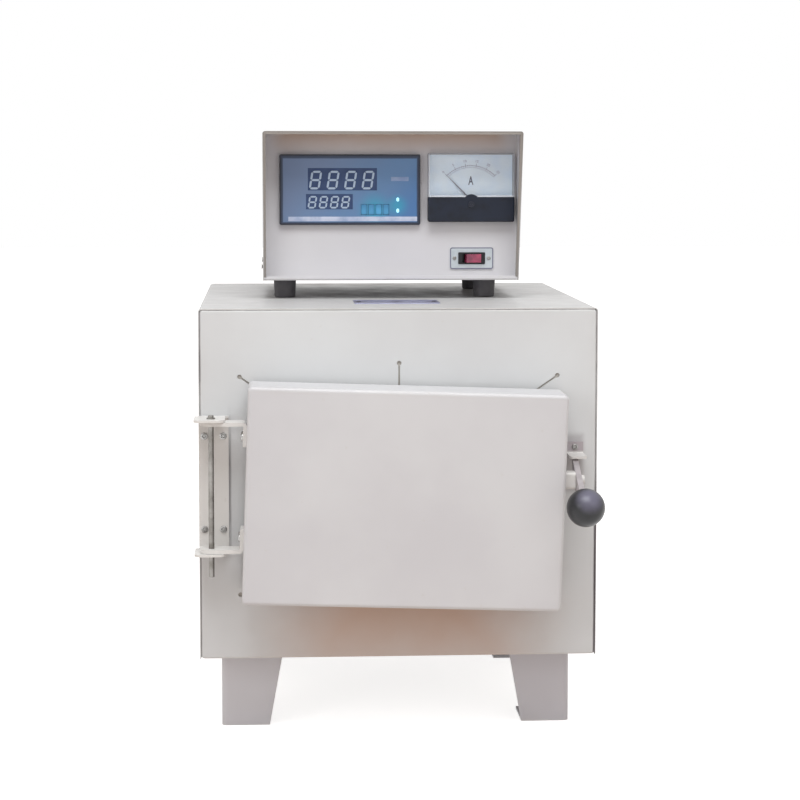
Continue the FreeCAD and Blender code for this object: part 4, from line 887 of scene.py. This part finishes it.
def makeLetters(name, texts, centre, ink, squeeze=1.0, bold=0.0):
    # plain figures laid on the dial, turned to stand along its arc; bold widens the strokes, in millimetres
    joined = bmesh.new()
    for text, across, up, size, turn in texts:
        curve = bpy.data.curves.new("figure", "FONT")
        curve.body = text
        curve.size = size * mm
        curve.extrude = 0.03 * mm
        curve.offset = bold * mm
        curve.resolution_u = 3
        curve.align_x = "CENTER"
        curve.align_y = "CENTER"
        holder = bpy.data.objects.new("figure", curve)
        flat = bpy.data.meshes.new_from_object(holder)
        flat.transform(Matrix.Diagonal((squeeze, 1, 1, 1)))
        flat.transform(Matrix.Rotation(math.pi / 2, 4, "X"))
        flat.transform(Matrix.Rotation(-turn, 4, "Y"))
        place = Vector((centre[0] + across * mm, centre[1] - 0.03 * mm, centre[2] + up * mm))
        flat.transform(Matrix.Translation(place))
        joined.from_mesh(flat)
        bpy.data.objects.remove(holder)
        bpy.data.curves.remove(curve)
        bpy.data.meshes.remove(flat)
    mesh = bpy.data.meshes.new(name)
    joined.to_mesh(mesh)
    joined.free()
    return finishPiece(name, mesh, ink, "controller")


makeDialPrint()
print("stage: dial printed")


# Screws with a cross recess: a dome turned about its axis, pressed in along two arms

screwLook = {
    "arm": 0.26,          # half the recess's width, as a share of the head's radius
    "reach": 0.62,
    "press": 0.75,        # recess depth as a share of the head's height
}


def screwGrid(seat, out, radius, height, shankRadius, shankLength, turn=0.3):
    # rows run from the crown outwards, down the side, under the head and along the shank
    shares = np.array([0.02, 0.1, 0.18, 0.24, 0.28, 0.34, 0.42, 0.5, 0.58, 0.64, 0.7, 0.8, 0.88, 0.94, 0.98])
    dome = height * (0.55 + 0.45 * np.sqrt(1 - shares ** 2))
    around = np.linspace(0, 2 * math.pi, 64, endpoint=False)
    spreadOut = shares[:, None] * radius
    cosines = np.cos(around + turn)
    sines = np.sin(around + turn)
    small = np.minimum(abs(cosines), abs(sines)) * shares[:, None]
    large = np.maximum(abs(cosines), abs(sines)) * shares[:, None]
    inside = np.clip((screwLook["arm"] - small) / 0.05, 0, 1)
    inside = inside * np.clip((screwLook["reach"] - large) / 0.06, 0, 1)
    topHeight = dome[:, None] - inside * height * screwLook["press"]
    ring = np.ones_like(around)
    lower = [(radius, height * 0.5), (radius, 0.0), (shankRadius, 0.0), (shankRadius, -shankLength)]
    rowsR = np.concatenate([spreadOut * ring, [r * ring for r, h in lower]])
    rowsH = np.concatenate([topHeight, [h * ring for r, h in lower]])
    out = np.array(out, float)
    side = np.array([0, 0, 1.0]) if abs(out[2]) < 0.5 else np.array([1.0, 0, 0])
    third = np.cross(out, side)
    flat = rowsR[..., None] * (np.cos(around)[:, None] * side + np.sin(around)[:, None] * third)
    return np.array(seat) + flat + rowsH[..., None] * out


def solidGroups(node):
    # the boxes of a node's separate solids: triangles that share a corner belong together
    mesh = cadNodes[node].data
    copy = bmesh.new()
    copy.from_mesh(mesh)
    bmesh.ops.remove_doubles(copy, verts=copy.verts, dist=1e-6)
    copy.verts.ensure_lookup_table()
    seen = set()
    boxes = []
    for start in copy.verts:
        if start.index in seen:
            continue
        reached = [start]
        seen.add(start.index)
        for vert in reached:
            for edge in vert.link_edges:
                other = edge.other_vert(vert)
                if other.index not in seen:
                    seen.add(other.index)
                    reached.append(other)
        places = np.array([v.co for v in reached])
        boxes.append((places.min(0), places.max(0)))
    copy.free()
    return boxes


def screwsOf(node, headDirections):
    # each screw keeps its solid's place and length; its head is the widest part at the outer end
    grids = []
    for k, (low, high) in enumerate(solidGroups(node)):
        middle = (low + high) / 2
        size = high - low
        long = headDirections(middle)
        axis = int(np.argmax(np.abs(long)))
        radius = np.delete(size, axis).max() / 2
        tip = middle.copy()
        tip[axis] = high[axis] if long[axis] > 0 else low[axis]
        height = radius * (0.3 if axis == 0 else 0.58)     # heads on the sides are flat ones
        grids.append(screwGrid(tip - np.array(long) * height, long, radius, height, radius * 0.54,
                               size[axis] - height, 0.35 + 0.9 * k))
    return grids


def makeScrews():
    def towardsViewer(middle):
        return (0, -1, 0)

    def outOfCase(middle):
        if middle[1] < boxOf("controller_panel")[0][1] + 2 * mm:
            return (0, -1, 0)
        return (-1, 0, 0) if middle[0] < 0 else (1, 0, 0)

    steel = slotMaterials["zinc_steel"]
    heads = screwsOf("panel_screws", towardsViewer)
    piece = makePiece("panelScrewHeads", heads, steel, "furnace")
    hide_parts("panel_screws")
    heads = screwsOf("controller_screws", outOfCase)
    piece = makePiece("caseScrewHeads", heads, steel, "controller")
    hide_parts("controller_screws")


makeScrews()
print("stage: screws made")


# Heating coils in the muffle's channels: a round wire wound about each channel's axis

coilLook = {
    "wire": 1.2,
    "pitch": 3.4,
    "stepsPerTurn": 12,
    "round": 6,
}


def coilGrid(centre, radius, start, end):
    # C(u) winds about Y; the wire's circle stands on the winding's normal and its binormal
    turns = (end - start) / (coilLook["pitch"] * mm)
    u = np.linspace(0, 1, int(turns * coilLook["stepsPerTurn"]))
    angle = 2 * math.pi * turns * u
    normal = np.stack([np.cos(angle), np.zeros_like(u), np.sin(angle)], -1)
    path = radius * normal
    path[:, 1] = start + (end - start) * u
    rise = (end - start) / (2 * math.pi * turns)
    tangent = np.stack([-radius * np.sin(angle), np.full_like(u, rise), radius * np.cos(angle)], -1)
    tangent /= np.linalg.norm(tangent, axis=1)[:, None]
    binormal = np.cross(tangent, normal)
    v = np.linspace(0, 2 * math.pi, coilLook["round"], endpoint=False)
    wire = coilLook["wire"] / 2 * mm
    ring = np.cos(v)[None, :, None] * normal[:, None] + np.sin(v)[None, :, None] * binormal[:, None]
    return path[:, None] + wire * ring + np.array([centre[0], 0, centre[2]])


def makeCoils():
    grids = []
    wire = coilLook["wire"] * mm
    for low, high in solidGroups("heating_elements"):
        radius = (high[0] - low[0] - wire) / 2
        grids.append(coilGrid((low + high) / 2, radius, low[1] + wire, high[1] - wire))
    finish = slotMaterials["element_wire"]
    piece = makePiece("heatingCoils", grids, finish, "furnace", smooth=80)
    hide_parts("heating_elements")


makeCoils()
print("stage: heating coils wound")


# Door gasket: a flat braided rope laid in a rounded rectangle

gasketLook = {
    "half": (99.0, 74.0),   # of the ring's middle line, across and up
    "corner": 12.0,
    "width": 12.0,
    "along": 560,
    "round": 28,
    "braid": 4.4,       # length of one braid cell
    "relief": 0.35,
}


def makeGasket():
    low, high, middle = boxOf("door_gasket")
    width = gasketLook["width"] * mm
    thick = high[1] - low[1]
    half = np.array(gasketLook["half"]) * mm
    corner = gasketLook["corner"] * mm
    fine = roundedLoop(half[0], half[1], corner, 24)
    closed = np.vstack([fine, fine[:1]])
    lengths = np.concatenate([[0], np.cumsum(np.linalg.norm(np.diff(closed, axis=0), axis=1))])
    u = np.linspace(0, lengths[-1], gasketLook["along"], endpoint=False)
    path = np.stack([np.interp(u, lengths, closed[:, k]) for k in (0, 1)], -1)
    ahead = np.roll(path, -1, 0) - np.roll(path, 1, 0)
    ahead /= np.linalg.norm(ahead, axis=1)[:, None]
    side = np.stack([ahead[:, 1], -ahead[:, 0]], -1)
    v = np.linspace(0, 2 * math.pi, gasketLook["round"], endpoint=False)
    cellsAlong = round(lengths[-1] / (gasketLook["braid"] * mm))
    first = 2 * math.pi * cellsAlong * u / lengths[-1]
    weave = np.sin(first[:, None] + 5 * v) * np.sin(first[:, None] - 5 * v)
    relief = gasketLook["relief"] * mm * (weave - 1)
    outward = (width / 2 + relief) * np.sign(np.cos(v)) * np.abs(np.cos(v)) ** 0.6
    upward = (thick / 2 + relief) * np.sign(np.sin(v)) * np.abs(np.sin(v)) ** 0.6
    flat = path[:, None] + side[:, None] * outward[..., None]
    sine = math.sin(math.radians(doorSag))
    cosine = math.cos(math.radians(doorSag))
    across = flat[..., 0] * cosine + flat[..., 1] * sine
    up = flat[..., 1] * cosine - flat[..., 0] * sine
    grid = np.stack([across + middle[0], upward + middle[1], up + middle[2]], -1)
    tones = [colour(*tone) for tone in ((226, 222, 210), (206, 198, 182), (150, 128, 104))]
    finish = mineralFinish("gasketRope", *tones, 700, 0.0002, 0.35)
    piece = makePiece("gasketRope", [grid], finish, "door", ring=True, smooth=80)
    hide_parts("door_gasket")


makeGasket()
print("stage: gasket braided")


# Blank plate on the casing's top, with a rivet at each end

plateLook = {
    "centre": (2.5, -82.5),
    "half": (47.5, 27.5),
    "corner": 3.0,
    "edge": ((0, 0), (0, 0.5), (0.2, 0.7), (2.2, 0.7), (2.6, 0.5)),    # inset and height, step by step
    "rivetAcross": 42.0,
    "rivetEdge": ((0, 0.4), (0, 0.7), (0.4, 1.1), (1.0, 1.4), (1.7, 1.5)),
    "rivetRadius": 2.6,
    "pale": colour(178, 180, 208),
    "grey": colour(150, 151, 182),
    "dark": colour(84, 80, 100),
    "spotReach": 13.0,
}


def makeBlankPlate():
    look = plateLook
    top = boxOf("casing_shell")[1][2]
    centre = (look["centre"][0] * mm, look["centre"][1] * mm, top)
    flat = {"across": (1, 0, 0), "up": (0, 1, 0), "out": (0, 0, 1)}
    plate = plateGrid(centre, look["half"][0] * mm, look["half"][1] * mm, look["corner"] * mm,
                      inMetres(look["edge"]), **flat)
    away = look["rivetAcross"] * mm
    spots = [((centre[0] + k * away, centre[1], top), look["spotReach"] * mm) for k in (-1, 0, 1)]
    finish = metalFinish("blankPlateMetal", look["pale"], look["grey"], (0.25, 0.4), (14, 1, 1), 500, 0.7,
                         look["dark"], spots)
    makePiece("blankPlate", [plate], finish, "furnace")
    rivets = []
    radius = look["rivetRadius"] * mm
    rounding = inMetres(look["rivetEdge"])
    for side in (-1, 1):
        place = (centre[0] + side * away, centre[1], top)
        rivets.append(plateGrid(place, radius, radius, radius * 0.98, rounding, **flat))
    finish = metalFinish("plateRivets", colour(86, 84, 92), colour(66, 64, 72), (0.3, 0.45))
    makePiece("plateRivets", rivets, finish, "furnace", smooth=50)


makeBlankPlate()
print("stage: blank plate laid")


# Hood: its front edge is folded back inside, a hem up one side, across the top and down the other, painted
# dark as shade

hemLook = {
    "sheet": 1.2,
    "bend": 3.0,
    "thick": 2.2,
    "deep": 7.0,
    "clear": 0.03,        # off the sheet
    "behindEdge": 0.05,
    "above": 4.0,         # its ends over the case's underside
    "perCorner": 7,
}


def makeHem():
    # path P(s) along the sheet's inner face; the strip's section stands on its inward normal and on +Y
    look = hemLook
    low, high, foot, head = hoodEdge()
    half = (high[0] - low[0]) / 2 - look["sheet"] * mm
    top = high[2] - look["sheet"] * mm
    bend = (look["bend"] - look["sheet"]) * mm
    turns = np.radians(np.linspace(0, 90, look["perCorner"]))
    right = np.stack([half - bend + bend * np.cos(turns), top - bend + bend * np.sin(turns)], -1)
    inwardRight = -np.stack([np.cos(turns), np.sin(turns)], -1)
    start = np.array([[half, low[2] + look["above"] * mm]])
    path = np.concatenate([start, right, right[::-1] * (-1, 1), start * (-1, 1)])
    inward = np.concatenate([[[-1, 0]], inwardRight, inwardRight[::-1] * (-1, 1), [[1, 0]]])
    front = foot + (head - foot) * (path[:, 1] - low[2]) / (high[2] - low[2])
    middle = (high[0] + low[0]) / 2
    rows = []
    near, far = look["clear"], look["thick"]
    begin, end = look["behindEdge"], look["deep"]
    for thick, deep in ((near, begin), (near, end), (far, end), (far, begin)):
        place = path + inward * thick * mm
        rows.append(np.stack([place[:, 0] + middle, front + deep * mm, place[:, 1]], -1))
    # the hem is painted darker than the case: painted shade
    finish = paintFinish("hemPaint", colour(150, 145, 140), colour(138, 133, 128))
    makePiece("hoodHem", [np.stack(rows, 1)], finish, "controller")


makeHem()
print("stage: hood hemmed")


# Switch plate: a thin dark line of painted shade round its edge

switchLineLook = {
    "corner": 2.5,
    "inset": 0.15,
    "width": 1.1,
    "thick": 0.08,
}


def makeSwitchLine():
    look = switchLineLook
    low, _, middle = boxOf("switch_plate")
    outer = look["inset"] * mm
    inner = outer + look["width"] * mm
    thick = look["thick"] * mm
    centre = (middle[0], low[1], middle[2])
    steps = [(outer, 0), (outer, thick), (inner, thick), (inner, 0)]
    ring = plateGrid(centre, middle[0] - low[0], middle[2] - low[2], look["corner"] * mm, steps)
    # painted shade in the gap at the plate's edge
    finish = plasticFinish("switchLinePaint", colour(112, 110, 132), colour(98, 96, 118), (0.4, 0.5))
    makePiece("switchPlateLine", [ring], finish, "controller", ring=True)


makeSwitchLine()
print("stage: switch plate lined")


# World, lamps and floor: soft light from above, white behind

studioLook = {
    "skyStrength": 0.53,
    "skyTint": (1.0, 0.945, 0.905, 1.0),
    "lampTint": (0.955, 0.98, 1.0),
    "white": 1.0,
    "lamps": {
        "topLamp": dict(place=(0.0, -1.35, 2.6), target=(0, 0, 0.4), size=(1.8, 1.4), power=50.5),
        "rightLamp": dict(place=(1.9, -2.2, 1.5), target=(0, 0, 0.35), size=(1.2, 1.2), power=4.0),
        "leftLamp": dict(place=(-2.0, -2.1, 1.1), target=(0, 0, 0.35), size=(1.2, 1.2), power=10.5),
    },
    "floorColour": colour(238, 238, 238),
    "floorBounce": colour(214, 202, 194),     # what the floor throws back on the object
    "floorLift": 0.74,
    "floorHalf": 12.0,
}


def seenDirectly():
    # 1 for what the camera, a reflection or a clear part sees, 0 for what lights the object
    paths = addNode("LightPath").outputs
    seen = larger(paths["Is Camera Ray"], paths["Is Glossy Ray"])
    return larger(seen, paths["Is Transmission Ray"])


def makeWorld():
    world = bpy.data.worlds.new("studioWorld")
    bpy.context.scene.world = world
    startTree(world)
    sky = {"Color": studioLook["skyTint"], "Strength": studioLook["skyStrength"]}
    lit = addNode("Background", sky).outputs[0]
    white = {"Color": (1, 1, 1, 1), "Strength": studioLook["white"]}
    shown = addNode("Background", white).outputs[0]
    mixed = addNode("MixShader", {0: seenDirectly(), 1: lit, 2: shown})
    addNode("OutputWorld", {0: mixed.outputs[0]})


def makeLamps():
    for name, look in studioLook["lamps"].items():
        data = bpy.data.lights.new(name, "AREA")
        data.shape = "RECTANGLE"
        data.size, data.size_y = look["size"]
        data.energy = look["power"]
        data.color = studioLook["lampTint"]
        lamp = addObject(name, data)
        lamp.location = look["place"]
        way = Vector(look["target"]) - Vector(look["place"])
        lamp.rotation_euler = way.to_track_quat("-Z", "Y").to_euler()


def makeFloor():
    material, shader = startMaterial("floorPale")
    faint = noise(objectPoint(), 3, 2)
    seen = seenDirectly()
    pale = blendColours(faint, studioLook["floorColour"], colour(242, 242, 242))
    feed(shader, {
        "Base Color": blendColours(seen, studioLook["floorBounce"], pale),
        "Roughness": 0.9,
        "Specular IOR Level": 0.1,
        "Emission Color": (1, 1, 1, 1),
        "Emission Strength": times(seen, studioLook["floorLift"]),
    })
    half = studioLook["floorHalf"]
    corners = [(-half, -half, 0), (half, -half, 0), (half, half, 0), (-half, half, 0)]
    mesh = bpy.data.meshes.new("studioFloor")
    mesh.from_pydata(corners, [], [(0, 1, 2, 3)])
    mesh.materials.append(material)
    floor = addObject("studioFloor", mesh)


makeWorld()
makeLamps()
makeFloor()
bpy.context.scene.view_settings.view_transform = "Standard"
print("stage: world, lamps and floor set")
